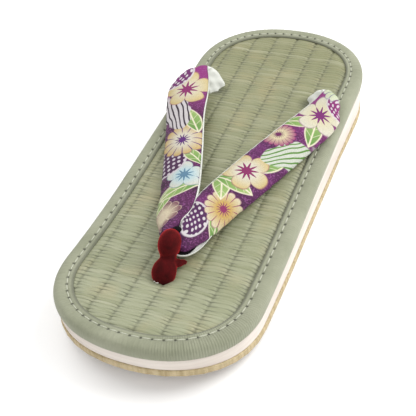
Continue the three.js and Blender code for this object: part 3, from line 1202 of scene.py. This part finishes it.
@dataclass
class RushMat:
    """The footbed: crosswise rush strands held down by lengthwise ties.

    phases are a row's places within a strand, and shares a column's places between two ties.
    """

    inset: float = 5.0
    below_edge: float = 1.5
    crown: float = 0.8
    thick: float = 2.3
    tie_pitch: float = 11.64
    tie_offset: float = 2.05
    tie_depth: float = 0.5
    tie_width: float = 0.85
    tie_under: float = 0.45
    tie_reach: float = 3.2
    strand_pitch: float = 2.0
    strand_spread: Pair = (0.72, 1.28)
    strand_height: float = 0.36
    strand_lift: float = 0.07
    swell_power: float = 0.6
    free_height: float = 0.6
    tie_squeeze: float = 0.35
    slack: float = 0.18
    gap_spread: Pair = (0.25, 0.9)
    gap_power: float = 1.3
    under_shade: float = 0.5
    gap_open: Pair = (0.35, 1.6)
    tone_spread: float = 0.13
    lane_spread: float = 0.09
    sway: float = 0.22
    sway_waves: tuple[Pair, Pair] = ((2.9, 5.3), (4.7, -8.1))
    sway_in: float = 6.0
    sway_ends: Pair = (112.0, 106.0)
    crown_in: Pair = (8.7, 11.7)
    weave_in: Pair = (6.5, 8.5)
    dent: float = 1.1
    dent_power: float = 1.6
    tail_dent: Pair = (7.5, 6.5)
    post_dent: Pair = (6.5, 5.5)
    lanes: int = 16
    past_side: float = 60.0
    seed: int = 5
    phases: tuple[float, ...] = (0.0, 0.1, 0.28, 0.5, 0.72, 0.9)
    shares: tuple[float, ...] = (0.0, 0.04, 0.09, 0.17, 0.3, 0.44, 0.56, 0.7, 0.83, 0.91, 0.96)

    @cached_property
    def ends(self) -> Array:
        """Places along Y where one strand gives way to the next."""
        reach = FORM.length / 2 - self.inset
        count = round(2 * reach / self.strand_pitch)
        widths = np.random.default_rng(self.seed).uniform(*self.strand_spread, count)
        return -reach + 2 * reach * np.r_[0, np.cumsum(widths)] / widths.sum()

    @cached_property
    def rows(self) -> tuple[Array, Array, Array]:
        """Place, strand number and phase within the strand of each row."""
        strand = np.repeat(np.arange(len(self.ends) - 1), len(self.phases))
        phase = np.tile(self.phases, len(self.ends) - 1)
        place = self.ends[strand] + (self.ends[strand + 1] - self.ends[strand]) * phase
        return np.r_[place, self.ends[-1]], np.r_[strand, strand[-1]], np.r_[phase, 1.0]

    @cached_property
    def columns(self) -> tuple[Array, Array]:
        """X of each column, across the top and back below, and whether it is below."""
        ties = self.tie_offset + self.tie_pitch * np.arange(-5, 5)
        top = (ties[:, None] + self.tie_pitch * np.array(self.shares)).ravel()
        back = np.linspace(self.past_side, -self.past_side, 5)
        x = np.r_[-self.past_side, top, back, -self.past_side]
        return x, np.r_[0, np.zeros(len(top)), np.ones(len(back)), 0]

    def lane(self, x: Array) -> Array:
        """Returns the number of the lane between two ties in which x lies."""
        return np.floor((x - self.tie_offset) / self.tie_pitch).astype(int) + self.lanes // 2

    def pick(self, u: Array, v: Array) -> tuple[Array, ...]:
        """Finds what lies at grid parameters.

        Args:
            u: Shares of the rows, from the toe to the heel.
            v: Shares of the columns, across the top and back below.

        Returns:
            x, y, strand number, phase and whether it is below.
        """
        place, strand, phase = self.rows
        across, below = self.columns
        row = np.rint(u * (len(place) - 1)).astype(int)
        col = np.rint(v * (len(across) - 1)).astype(int)
        half = np.maximum(FORM.half_width(place[row], self.inset), 0.01)
        x = np.clip(across[col], -half, half)
        # The strands wander a little, but not where the tape holds their ends.
        waves = enumerate(self.sway_waves)
        sway = sum(np.sin(x / wide + place[row] / long + k) for k, (wide, long) in waves)
        calm = smooth(0, self.sway_in, half - np.abs(x))
        calm *= smooth(*self.sway_ends, np.abs(place[row]))
        return x, place[row] + self.sway * sway * calm, strand[row], phase[row], below[col]

    def relief(self, x: Array, strand: Array, phase: Array) -> tuple[Array, Array, Array]:
        """Shapes the weave: each strand swells between the ties and every other one dips at them.

        Args:
            x: Places across the mat.
            strand: Strand numbers.
            phase: Places within the strand.

        Returns:
            The height, and how near a tie and how deep in a gap a point is.
        """
        from_tie = (x - self.tie_offset) / self.tie_pitch
        near = np.rint(from_tie)
        tie = bump_at((from_tie - near) * self.tie_pitch, 0, self.tie_width)
        over = (strand + near) % 2 == 0
        swell = np.sin(np.pi * phase) ** self.swell_power
        rng = np.random.default_rng(self.seed + 1)
        cells = len(self.ends), self.lanes
        lift = rng.uniform(-self.strand_lift, self.strand_lift, cells)
        open_up = rng.uniform(*self.gap_spread, cells)
        cell = strand, self.lane(x)
        close = bump_at((from_tie - near) * self.tie_pitch, 0, self.tie_reach)
        free = self.free_height + (1 - self.free_height) * close
        height = self.strand_height * swell * free * (1 - self.tie_squeeze * tie)
        height -= self.tie_depth * tie * np.where(over, 1.0, self.tie_under)
        height += lift[cell] * (1 - tie) + self.slack * (1 - close)
        least, more = self.gap_open
        opening = np.clip(open_up[cell] * (least + more * close), 0, 1)
        gap = (1 - swell) ** self.gap_power * opening
        return height, tie * np.where(over, 1.0, self.under_shade), gap

    def dents(self, x: Array, y: Array) -> Array:
        """Finds where the mat is drawn in round the tails and the post.

        Args:
            x: Places across the mat.
            y: Places along it.

        Returns:
            The share of the full dent at each place.
        """
        (tail_x, tail_y), (post_x, post_y) = self.tail_dent, self.post_dent
        tails = np.hypot((np.abs(x) - TAIL_SLIT[0]) / tail_x, (y - TAIL_SLIT[1]) / tail_y)
        post = np.hypot(x / post_x, (y - POST_SLIT) / post_y)
        return np.exp(-np.minimum(tails, post) ** 2 * self.dent_power)

    def surface(self, u: Array, v: Array) -> Array:
        """Lays the mat: its woven top and its flat underside.

        Args:
            u: Shares of the rows.
            v: Shares of the columns.

        Returns:
            One point for each pair.
        """
        x, y, strand, phase, below = self.pick(u, v)
        height = self.relief(x, strand, phase)[0]
        inside = FORM.depth_inside(x, y)
        top = FORM.edge_top(y) - self.below_edge + self.crown * smooth(*self.crown_in, inside)
        top += height * smooth(*self.weave_in, inside) - self.dent * self.dents(x, y)
        floor = FORM.edge_top(y) - self.below_edge - self.thick
        return np.c_[x, y, np.where(below > 0, floor, top)]

    def chart(self, u: Array, v: Array) -> Array:
        """Returns x and y as chart coordinates."""
        return np.stack(self.pick(u, v)[:2], axis=1)

    def paint(self, u: Array, v: Array) -> Array:
        """Gives what the finish reads as paint.

        Args:
            u: Shares of the rows.
            v: Shares of the columns.

        Returns:
            Strand tone, depth in a gap and nearness to a tie of each point.
        """
        x, y, strand, phase, _ = self.pick(u, v)
        _, tie, gap = self.relief(x, strand, phase)
        rng = np.random.default_rng(self.seed + 2)
        whole = rng.normal(0.5, self.tone_spread, len(self.ends))
        cell = rng.normal(0.0, self.lane_spread, (len(self.ends), self.lanes))
        tone = np.clip(whole[strand] + cell[strand, self.lane(x)], 0, 1)
        # The gaps, the dents round the tails and the post, and the ties carry painted shade.
        return np.c_[tone, np.maximum(gap, self.dents(x, y)), tie]

    def build(self) -> None:
        """Makes the piece."""
        steps = len(self.rows[0]) - 1, len(self.columns[0]) - 1
        piece = lay_grid("rush_footbed", steps, self.surface, self.chart, True, self.paint)
        settle(piece, WovenRush("woven rush").make(), Slot.RUSH, "rush_mat")


@dataclass
class EdgeBinding:
    """The folded cotton tape round the footbed, with its row of stitches.

    section holds inset from the outline and depth below the edge's top: under the lip, round
    it, out over the top, down the side and up behind it.
    """

    section: tuple[Pair, ...] = (
        (1.4, 1.6), (7.6, 1.45), (8.55, 1.3), (8.75, 0.85), (8.4, 0.4),
        (7.6, 0.2), (6.8, 0.28), (6.0, 0.42), (5.0, 0.16), (3.6, 0.0), (2.4, 0.08), (1.2, 0.52),
        (0.3, 1.4), (-0.25, 2.7), (-0.4, 4.2), (-0.3, 5.7), (0.0, 6.8),
        (0.45, 7.2), (1.1, 7.1), (1.3, 6.2), (1.4, 3.5),
    )
    stitch_inset: float = 6.0
    groove: float = 0.42
    stitch_pitch: float = 5.2
    stitch_long: float = 3.7
    stitch_thick: float = 0.66
    look_ahead: float = 0.002
    pull: float = 0.3
    pull_wide: float = 0.7
    pull_beat: float = 0.4
    gather: float = 0.06
    gather_wide: float = 7.0
    gather_ends: Pair = (60.0, 110.0)
    gather_pitches: Pair = (2.3, 3.7)
    top_depth: float = 1.2
    top_inset: float = 0.2
    steps: tuple[int, int] = (1700, 44)

    @cached_property
    def count(self) -> int:
        """Number of stitches that fit round the sandal."""
        return round(FORM.rail[2] / self.stitch_pitch)

    def fold(self, v: Array) -> Array:
        """Returns inset and depth below the edge's top along the folded section."""
        return through(np.array(self.section), v, closed=True)

    def surface(self, u: Array, v: Array) -> Array:
        """Lays the tape, drawn in at each stitch and gathered at the round ends.

        Args:
            u: Shares of the way round.
            v: Shares of the folded section.

        Returns:
            One point for each pair.
        """
        inset, down = self.fold(v).T
        top = (down < self.top_depth) & (inset > self.top_inset)
        beat = 1 - self.pull_beat * (1 + np.cos(math.tau * u * self.count))
        down = down + self.pull * bump_at(inset, self.stitch_inset, self.pull_wide) * beat * top
        ends = smooth(*self.gather_ends, np.abs(FORM.around(u, inset)[1]))
        # Whole numbers of waves go round, so that the tape's ends meet at the heel.
        close, wide = (math.tau * u * round(FORM.rail[2] / p) for p in self.gather_pitches)
        waves = np.sin(close) + np.sin(wide + 2)
        across = np.sin(np.pi * np.clip(inset / self.gather_wide, 0, 1))
        down = down + self.gather * ends * waves * across * top
        x, y = FORM.around(u, inset)
        return np.c_[x, y, FORM.edge_top(y) - down]

    def chart(self, u: Array, v: Array) -> Array:
        """Returns the distance round, and the inset on top or the way down the side."""
        inset, down = self.fold(v).T
        return np.c_[u * self.count * self.stitch_pitch, inset - down]

    def stitch_place(self, turn: float) -> Vector:
        """Returns the place on the stitch line at a share of the way round."""
        x, y = FORM.around(np.array([turn]), np.array([self.stitch_inset]))
        return Vector((x[0], y[0], FORM.edge_top(y)[0] - self.groove))

    def stitches(self) -> Piece:
        """Makes one stitch and copies it all the way round.

        Returns:
            The row of stitches as one piece.
        """
        bare_selection()
        bpy.ops.mesh.primitive_uv_sphere_add(segments=10, ring_count=8,
                                             radius=self.stitch_thick / 2 * MM)
        bpy.ops.transform.resize(value=(1, 1, self.stitch_long / self.stitch_thick))
        first = bpy.context.object
        first.rotation_mode = "QUATERNION"
        made = [first]
        for _ in range(1, self.count):
            one = first.copy()
            one.data = first.data.copy()
            bpy.context.collection.objects.link(one)
            made.append(one)
        for k, one in enumerate(made):
            turn = k / self.count
            here, ahead = self.stitch_place(turn), self.stitch_place(turn + self.look_ahead)
            one.rotation_quaternion = (ahead - here).to_track_quat("Z", "Y")
            one.location = here * MM
        row = join(made, "binding_stitches")
        bpy.ops.object.shade_smooth()
        return row

    def build(self) -> None:
        """Makes the tape and its stitches."""
        tape = lay_grid("edge_tape", self.steps, self.surface, self.chart)
        finish = WovenTape("cotton tape", stitch_pitch=self.stitch_pitch,
                           stitch_line=self.stitch_inset - self.groove)
        settle(tape, finish.make(), Slot.COTTON, "edge_binding")
        thread = PlainCloth("cotton thread", "#b6b8a6", "#9d9f8c", grain=0.3)
        settle(self.stitches(), thread.make(), Slot.COTTON)


@dataclass
class Strap:
    """One padded strap: a printed crepe body over a dark core and a thin white lining.

    show_inner and show_outer are how far the lining stands out past the body at its edges, and
    start and tip shape the blunt front end. What happens at the tail is counted back from its
    end, as where it starts and where it is full, and drop_at as its place and its width.
    """

    side: Side
    figures: tuple[Figure, ...]
    light: str
    dark: str
    stands_for: tuple[str, ...] = ()
    crown: float = 1.1
    round_power: float = 0.8
    shrink: float = 0.3
    lining: float = 0.7
    core: float = 0.5
    layer_gap: float = 0.2
    show_inner: float = 0.35
    show_outer: float = -0.6
    show_ahead: float = 3.8
    show_until: Pair = (7.0, 21.0)
    core_back: float = 0.3
    core_ahead: float = 3.0
    core_until: Pair = (4.0, 13.0)
    wrap_from: float = 0.93
    wrap: float = 1.14
    edge_taper: float = 12.0
    tip: float = 3.0
    start: float = 1.4
    # Share of the width at the very front, and where it is full again
    left_front: Pair = (0.25, 24.0)
    # Share of the width, place and reach of each bulge or nip
    left_bulge: Triple = (0.22, 32.0, 16.0)
    right_inner_nip: Triple = (0.2, 15.0, 8.0)
    right_outer_nip: Triple = (0.3, 5.0, 10.0)
    tail_drop: Pair = (1.0, 1.8)
    drop_at: Pair = (24.0, 16.0)
    drawn_front: float = 16.0
    drawn_tail: Pair = (40.0, 12.0)
    lining_tail: Pair = (48.0, 26.0)
    # Height, and turns of the wave across and along
    broad_pleats: Triple = (0.32, 8.5, 0.09)
    fine_pleats: Triple = (0.22, -4.0, 0.9)
    pucker_pitches: Pair = (7.5, 8.5)
    pucker_width: float = 0.02
    pucker_height: float = 0.22
    swell_pitch: float = 13.0
    swell_height: float = 0.1
    pleat_height: float = 0.35
    pleat_waves: float = 7.5
    fill: float = 0.8
    steps: tuple[int, int] = (430, 72)
    lining_steps: tuple[int, int] = (300, 40)
    lining_round: float = 30.0
    walk_steps: int = 1200
    look_ahead: float = 0.3
    ripple_shares: Triple = (0.7, 1.0, 1.45)
    body_tip_least: float = 0.02
    shell_tip_least: float = 0.05
    seed: int = 3

    @cached_property
    def table(self) -> Array:
        """The strap's rows as numbers."""
        return np.array([[r.x, r.y, r.z, r.half, r.turn, r.tilt, r.pad] for r in STRAP_ROWS])

    @cached_property
    def walked(self) -> tuple[Array, Array]:
        """Places along the rows and the distance walked to each, in millimetres."""
        place = np.linspace(0, 1, self.walk_steps)
        middle = through(self.table[:, :3], place)
        steps = np.linalg.norm(np.diff(middle, axis=0), axis=1)
        return place, np.r_[0, np.cumsum(steps)]

    @property
    def long(self) -> float:
        """Length of the strap along its middle."""
        return self.walked[1][-1]

    def frame_at(self, u: Array) -> tuple[Array, ...]:
        """Finds the strap's section at places along it.

        Args:
            u: Shares of the strap's length.

        Returns:
            Middle, inner direction, upward direction, half width and thickness of each.
        """
        place, far = self.walked
        row = through(self.table, np.interp(u * self.long, far, place))
        if self.side is Side.RIGHT:
            place_of, wide = self.drop_at
            dropped = bump_at(u * self.long, self.long - place_of, wide)
            row[:, 1:3] -= dropped[:, None] * self.tail_drop
        ahead, behind = (
            through(self.table[:, :3], np.interp(u * self.long + step, far, place))
            for step in (self.look_ahead, -self.look_ahead)
        )
        turn, tilt = np.radians(row[:, 4]), np.radians(row[:, 5])
        inner = np.c_[np.cos(tilt) * np.cos(turn), np.cos(tilt) * np.sin(turn), np.sin(tilt)]
        up = np.cross(ahead - behind, inner)
        up /= np.linalg.norm(up, axis=1)[:, None]
        return row[:, :3], inner, up, row[:, 3], row[:, 6]

    def ripple(self, s: Array, pitch: float, seed: int) -> Array:
        """Gives an uneven wave along the strap.

        Args:
            s: Distances from the front end.
            pitch: The wave's rough pitch.
            seed: Tells one wave from another.

        Returns:
            The wave's height at each distance, between -1 and 1.
        """
        rng = np.random.default_rng(self.seed * 100 + seed + (self.side is Side.LEFT))
        total = np.zeros_like(s)
        for share in self.ripple_shares:
            total += np.sin(math.tau * s / (pitch * share) + rng.uniform(0, math.tau))
        return total / len(self.ripple_shares)

    def lay(self, section: tuple[Array, ...], across: Array, height: Array) -> Array:
        """Turns places in the strap's sections to points.

        Args:
            section: Middle, inner direction and upward direction of each section, and more.
            across: Places towards the inner side.
            height: Heights above the middle.

        Returns:
            One point for each, on this strap's side of the sandal.
        """
        middle, inner, up = section[:3]
        points = middle + inner * across[:, None] + up * height[:, None]
        return points * (self.side.value, 1, 1)

    def body(self, u: Array, v: Array) -> Array:
        """Lays the printed body: crowned, puckered at its edges, pleated where it is drawn in.

        Args:
            u: Shares of the strap's length.
            v: Shares of the way round its section, over the top first.

        Returns:
            One point for each pair.
        """
        s = self.start + u * (self.long - self.start)
        section = self.frame_at(s / self.long)
        half, pad = section[3:]
        angle = math.tau * v
        across = np.cos(angle)
        rise = np.sign(np.sin(angle)) * np.abs(np.sin(angle)) ** self.round_power
        left = 1 - np.clip((s - self.start) / self.tip, 0, 1)
        blunt = np.sqrt(np.clip(1 - left**2, self.body_tip_least, 1))
        edge = np.abs(across) ** 3
        inner, outer = (self.ripple(s, p, k) for k, p in enumerate(self.pucker_pitches, 1))
        pucker = np.where(across > 0, inner, outer)
        width = (half - self.shrink) * across * blunt * (1 + self.pucker_width * pucker * edge)
        width *= self.trim(s, across)
        below = pad / 2 - self.lining - self.core - self.layer_gap
        thick = np.where(rise > 0, pad / 2, below) * rise * blunt
        tail_from, tail_full = (self.long - back for back in self.drawn_tail)
        drawn = 1 - smooth(0, self.drawn_front, s) + smooth(tail_from, tail_full, s)
        folds = np.cos(across * self.pleat_waves) * (rise > 0) * np.abs(rise)
        swell = self.pucker_height * pucker * edge
        swell += self.swell_height * self.ripple(s, self.swell_pitch, 3)
        height = thick + self.crown * (1 - across**2) * blunt
        height += self.pleat_height * drawn * folds + swell * np.clip(rise, 0, 1)
        return self.lay(section, width, height)

    def trim(self, s: Array, across: Array) -> Array:
        """Narrows the front end where it is drawn together, and widens the left strap's far end.

        Args:
            s: Distances from the front end.
            across: Places across the section, above 0 on its inner side.

        Returns:
            The share of the width that is left.
        """
        if self.side is Side.LEFT:
            least, full = self.left_front
            outer = least + (1 - least) * smooth(0, full, s)
            share, back, reach = self.left_bulge
            return np.where(across < 0, outer, 1 + share * bump_at(s, self.long - back, reach))
        nips = self.right_inner_nip, self.right_outer_nip
        inner, outer = (1 - share * bump_at(s, place, reach) for share, place, reach in nips)
        return np.where(across > 0, inner, outer)

    def body_chart(self, u: Array, v: Array) -> Array:
        """Charts the body for its print.

        Args:
            u: Shares of the strap's length.
            v: Shares of the way round its section.

        Returns:
            The distance from the front end and from the middle line, outwards.
        """
        half = self.frame_at(u)[3]
        turned = np.cos(math.tau * v)
        across = np.where(v <= 0.5, -turned * half, (2 + turned) * half)
        return np.c_[u * self.long, across]

    def shell(self, u: Array, v: Array, wall: float, lift: float,
              show: tuple[float | Array, float | Array]) -> Array:
        """Lays a thin shell under the body, out along its underside and back.

        Args:
            u: Shares of the strap's length.
            v: Shares of the way round the shell.
            wall: Its thickness.
            lift: How far it lies above the strap's underside.
            show: How far it stands out past the body at the inner and the outer edge.

        Returns:
            One point for each pair.
        """
        section = self.frame_at(u)
        half, pad = section[3:]
        s = u * self.long
        left = 1 - np.clip(s / self.tip, 0, 1)
        blunt = np.sqrt(np.clip(1 - left**2, self.shell_tip_least, 1))
        out = v < 0.5
        sweep = np.where(out, v * 2, 2 - v * 2)
        # The shell wraps a little more than half the section, so its edges turn up.
        angle = math.pi * self.wrap_from + sweep * math.pi * self.wrap
        taper = np.clip(self.edge_taper * np.minimum(sweep, 1 - sweep), 0, 1)
        inside = np.where(out, 0.0, wall * taper)
        turned = np.cos(angle)
        reach = half - self.shrink + np.where(turned > 0, show[0], show[1]) - inside
        across = turned * reach * blunt * self.trim(s, turned)
        rise = np.sign(np.sin(angle)) * np.abs(np.sin(angle)) ** self.round_power
        crown = self.crown * (1 - turned**2) * blunt
        tail_from, tail_full = (self.long - back for back in self.lining_tail)
        tail = smooth(tail_from, tail_full, s)
        (broad, wide, long), (fine, close, short) = self.broad_pleats, self.fine_pleats
        pleats = broad * np.cos(wide * turned + long * s)
        pleats += fine * np.sin(close * turned + short * s)
        height = rise * (pad / 2 - lift - inside) * blunt + crown - tail * pleats * taper
        return self.lay(section, across, height)

    def lining_shell(self, u: Array, v: Array) -> Array:
        """Lays the white lining, which stands out at the right strap's front end.

        Args:
            u: Shares of the strap's length.
            v: Shares of the way round the shell.

        Returns:
            One point for each pair.
        """
        ahead = (1 - smooth(*self.show_until, u * self.long)) * (self.side is Side.RIGHT)
        show = self.show_inner, self.show_outer + self.show_ahead * ahead
        return self.shell(u, v, self.lining, 0.0, show)

    def core_shell(self, u: Array, v: Array) -> Array:
        """Lays the dark core, seen as a line between the print and the lining.

        Args:
            u: Shares of the strap's length.
            v: Shares of the way round the shell.

        Returns:
            One point for each pair.
        """
        ahead = (1 - smooth(*self.core_until, u * self.long)) * (self.side is Side.RIGHT)
        show = self.show_outer, self.show_outer - self.core_back + self.core_ahead * ahead
        return self.shell(u, v, self.core, self.lining + self.layer_gap / 2, show)

    def lining_chart(self, u: Array, v: Array) -> Array:
        """Returns the distance along and a measure round the lining."""
        return np.c_[u * self.long, v * self.lining_round]

    def build(self) -> None:
        """Makes the body, the lining and the core."""
        word = self.side.name.lower()
        body = lay_grid(f"{word}_strap", self.steps, self.body, self.body_chart, cap_holes=True)
        crepe = PrintedCrepe(f"{word} printed crepe", self.figures, self.light, self.dark)
        settle(body, crepe.make(), Slot.CREPE, *self.stands_for)
        white = PlainCloth(f"{word} cotton lining", "#d3d4ce", "#bfc1b9", grain=0.5, relief=0.05)
        black = PlainCloth(f"{word} cotton core", "#151113", "#0c0a0b", sheen=0.0, gloss=0.1)
        layers = (("lining", self.lining_shell, white), ("core", self.core_shell, black))
        for name, surface, finish in layers:
            shell = lay_grid(f"{word}_strap_{name}", self.lining_steps, surface,
                             self.lining_chart, cap_holes=True)
            settle(shell, finish.make(), Slot.CREPE)


@dataclass(frozen=True)
class Lump:
    """A rounded lump of stuffing: its middle and its half sizes."""

    place: Triple
    size: Triple

    def build(self) -> Piece:
        """Makes the lump as an object of its own, to be joined to others.

        Returns:
            The lump, its size and place still on the object.
        """
        bare_selection()
        bpy.ops.mesh.primitive_uv_sphere_add(segments=32, ring_count=20, radius=MM)
        piece = bpy.context.object
        piece.scale = self.size
        piece.location = Vector(self.place) * MM
        return piece


@dataclass
class FrontPost:
    """The velvet post between the toes: a loop over the straps' joint and a tongue below.

    The tongue runs through its lumps from below the mat up to the loop. Each thread end at the
    foot has its angle round the post, in degrees, and its height.
    """

    loop: Lump = Lump((0.0, -67.0, 31.2), (4.9, 6.6, 6.8))
    tongue: tuple[Lump, ...] = (
        Lump((0.0, -78.8, 12.0), (3.9, 3.4, 3.4)),
        Lump((0.3, -78.6, 18.5), (4.2, 3.4, 3.4)),
        Lump((0.5, -77.3, 22.8), (5.5, 3.8, 3.8)),
        Lump((0.7, -75.1, 25.0), (5.2, 3.6, 3.6)),
        Lump((0.7, -72.4, 26.6), (3.5, 2.8, 2.8)),
        Lump((0.2, -69.0, 29.6), (4.2, 3.3, 3.3)),
    )
    flap: tuple[Lump, ...] = (
        Lump((2.4, -72.0, 25.2), (2.8, 2.5, 2.1)),
        Lump((4.6, -70.8, 24.6), (2.6, 2.1, 1.5)),
        Lump((6.4, -69.3, 24.2), (2.1, 1.5, 0.9)),
    )
    cord: Lump = Lump((0.0, -65.0, 28.8), (6.0, 2.1, 2.1))
    knot: Lump = Lump((0.6, -59.6, 32.2), (2.6, 2.0, 1.9))
    thread_ends: tuple[Pair, ...] = ((236, 21.9), (252, 21.7), (263, 22.1))
    thread_size: Triple = (0.36, 0.25, 0.25)
    foot_middle: Pair = (0.3, -78.6)
    foot_half: Pair = (4.15, 3.4)
    beads: int = 22
    voxel: float = 0.5
    soften_rounds: int = 6
    fill: float = 0.9

    def velvet(self) -> Piece:
        """Makes the post from its loop, tongue and flap, welded and smoothed.

        Returns:
            The post as one closed piece.
        """
        knots = np.array([(*lump.place, *lump.size) for lump in self.tongue])
        rows = through(knots, np.linspace(0, 1, self.beads)).tolist()
        beads = [Lump(tuple(row[:3]), tuple(row[3:])) for row in rows]
        post = join([lump.build() for lump in (self.loop, *beads, *self.flap)], "velvet_post")
        weld = post.modifiers.new("weld", "REMESH")
        weld.mode = "VOXEL"
        weld.voxel_size = self.voxel * MM
        soften = post.modifiers.new("soften", "SMOOTH")
        soften.iterations = self.soften_rounds
        bpy.ops.object.modifier_apply(modifier="weld")
        bpy.ops.object.modifier_apply(modifier="soften")
        bpy.ops.object.shade_smooth()
        return post

    def foot_lumps(self) -> list[Lump]:
        """Places the ends of white thread that show where the velvet is closed at its foot.

        Returns:
            One lump for each end.
        """
        lumps = []
        for turn, z in self.thread_ends:
            angle = math.radians(turn)
            x = self.foot_middle[0] + self.foot_half[0] * math.cos(angle)
            y = self.foot_middle[1] + self.foot_half[1] * math.sin(angle)
            lumps.append(Lump((x, y, z), self.thread_size))
        return lumps

    def build(self) -> None:
        """Makes the post, the cord inside its loop and the thread at its foot."""
        post = settle(self.velvet(), Velvet("velvet").make(), Slot.VELVET, "front_post")
        black = PlainCloth("black cord", "#121012", "#0a090a", grain=0.5, sheen=0.0, gloss=0.1)
        white = PlainCloth("white thread", "#d6d2ca", "#bdb8ae")
        trims = (("joining_cord", [self.cord, self.knot], black, Slot.CREPE),
                 ("foot_stitches", self.foot_lumps(), white, Slot.COTTON))
        for name, lumps, finish, slot in trims:
            trim = join([lump.build() for lump in lumps], name)
            bpy.ops.object.shade_smooth()
            settle(trim, finish.make(), slot)


@dataclass
class InsolePad:
    """The felt pad under the mat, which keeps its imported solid."""

    light: str = "#dcd8c8"
    dark: str = "#c6c1ae"
    grain: float = 0.6

    def build(self) -> None:
        """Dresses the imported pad."""
        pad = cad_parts["insole_pad"]
        felt = PlainCloth("pressed felt", self.light, self.dark, grain=self.grain)
        pad.data.materials.clear()
        pad.data.materials.append(felt.make())
        log.info("insole_pad: dressed as packed")


@dataclass(frozen=True)
class Lamp:
    """A round soft lamp that points at the origin: its place, its width and its watts."""

    place: Triple
    size: float
    watts: float


@dataclass
class Studio:
    """A pale floor, soft lights and the camera at the photo's angle."""

    eye: Triple = (125.23, -283.60, 278.48)
    target: Triple = (-0.29, -25.38, 15.0)
    roll: float = -6.28
    lens: float = 71.0
    sensor: float = 36.0
    clip_start: float = 10.0
    floor_size: float = 4000.0
    floor_colour: str = "#fbfbfb"
    sky_colour: str = "#ffffff"
    sky_strength: float = 0.5
    lamps: tuple[Lamp, ...] = (
        Lamp((520, 330, 620), 700, 6.9),
        Lamp((-500, 150, 650), 800, 3.5),
        Lamp((100, -650, 600), 800, 2.6),
        Lamp((700, -120, 120), 500, 1.4),
    )

    def lay_floor(self) -> None:
        """Makes the floor."""
        bare_selection()
        bpy.ops.mesh.primitive_plane_add(size=self.floor_size * MM)
        floor = bpy.context.object
        floor.name = "floor"
        paper = PlainCloth("paper", self.floor_colour, self.floor_colour, relief=0.0, sheen=0.0)
        floor.data.materials.append(paper.make())

    def light(self) -> None:
        """Makes the lamps and the even light of the room."""
        for lamp in self.lamps:
            bpy.ops.object.light_add(type="AREA", location=Vector(lamp.place) * MM)
            made = bpy.context.object
            made.data.shape = "DISK"
            made.data.size = lamp.size * MM
            made.data.energy = lamp.watts
            made.rotation_mode = "QUATERNION"
            made.rotation_quaternion = (-Vector(lamp.place)).to_track_quat("-Z", "Y")
        world = bpy.data.worlds.new("studio")
        bpy.context.scene.world = world
        world.use_nodes = True
        sky = world.node_tree.nodes["Background"]
        sky.inputs["Color"].default_value = linear(self.sky_colour)
        sky.inputs["Strength"].default_value = self.sky_strength

    def place_camera(self) -> None:
        """Puts the camera at the photo's angle."""
        bpy.context.scene.view_settings.view_transform = "Standard"
        bpy.ops.object.camera_add(location=Vector(self.eye) * MM)
        camera = bpy.context.object
        camera.data.lens = self.lens
        camera.data.sensor_width = self.sensor
        camera.data.clip_start = self.clip_start * MM
        look = (Vector(self.target) - Vector(self.eye)).to_track_quat("-Z", "Y")
        camera.rotation_mode = "QUATERNION"
        camera.rotation_quaternion = look @ Quaternion((0, 0, 1), math.radians(self.roll))
        bpy.context.scene.camera = camera

    def build(self) -> None:
        """Makes the floor, the lights and the camera."""
        self.lay_floor()
        self.light()
        self.place_camera()


def main() -> None:
    """Builds the sandal and its studio."""
    logging.basicConfig(level=logging.INFO)
    parts = (
        Tread(), Wedge(), RushMat(), EdgeBinding(),
        Strap(Side.RIGHT, RIGHT_PRINT, "#6a2064", "#3f1039", ("upper",)),
        # The left strap's ground is a darker copy of the right's: painted shade, as the light falls
        # from the right.
        Strap(Side.LEFT, LEFT_PRINT, "#581a50", "#340f2e"),
        FrontPost(), InsolePad(), Studio(),
    )
    for part in parts:
        part.build()


if __name__ == "__main__":
    main()
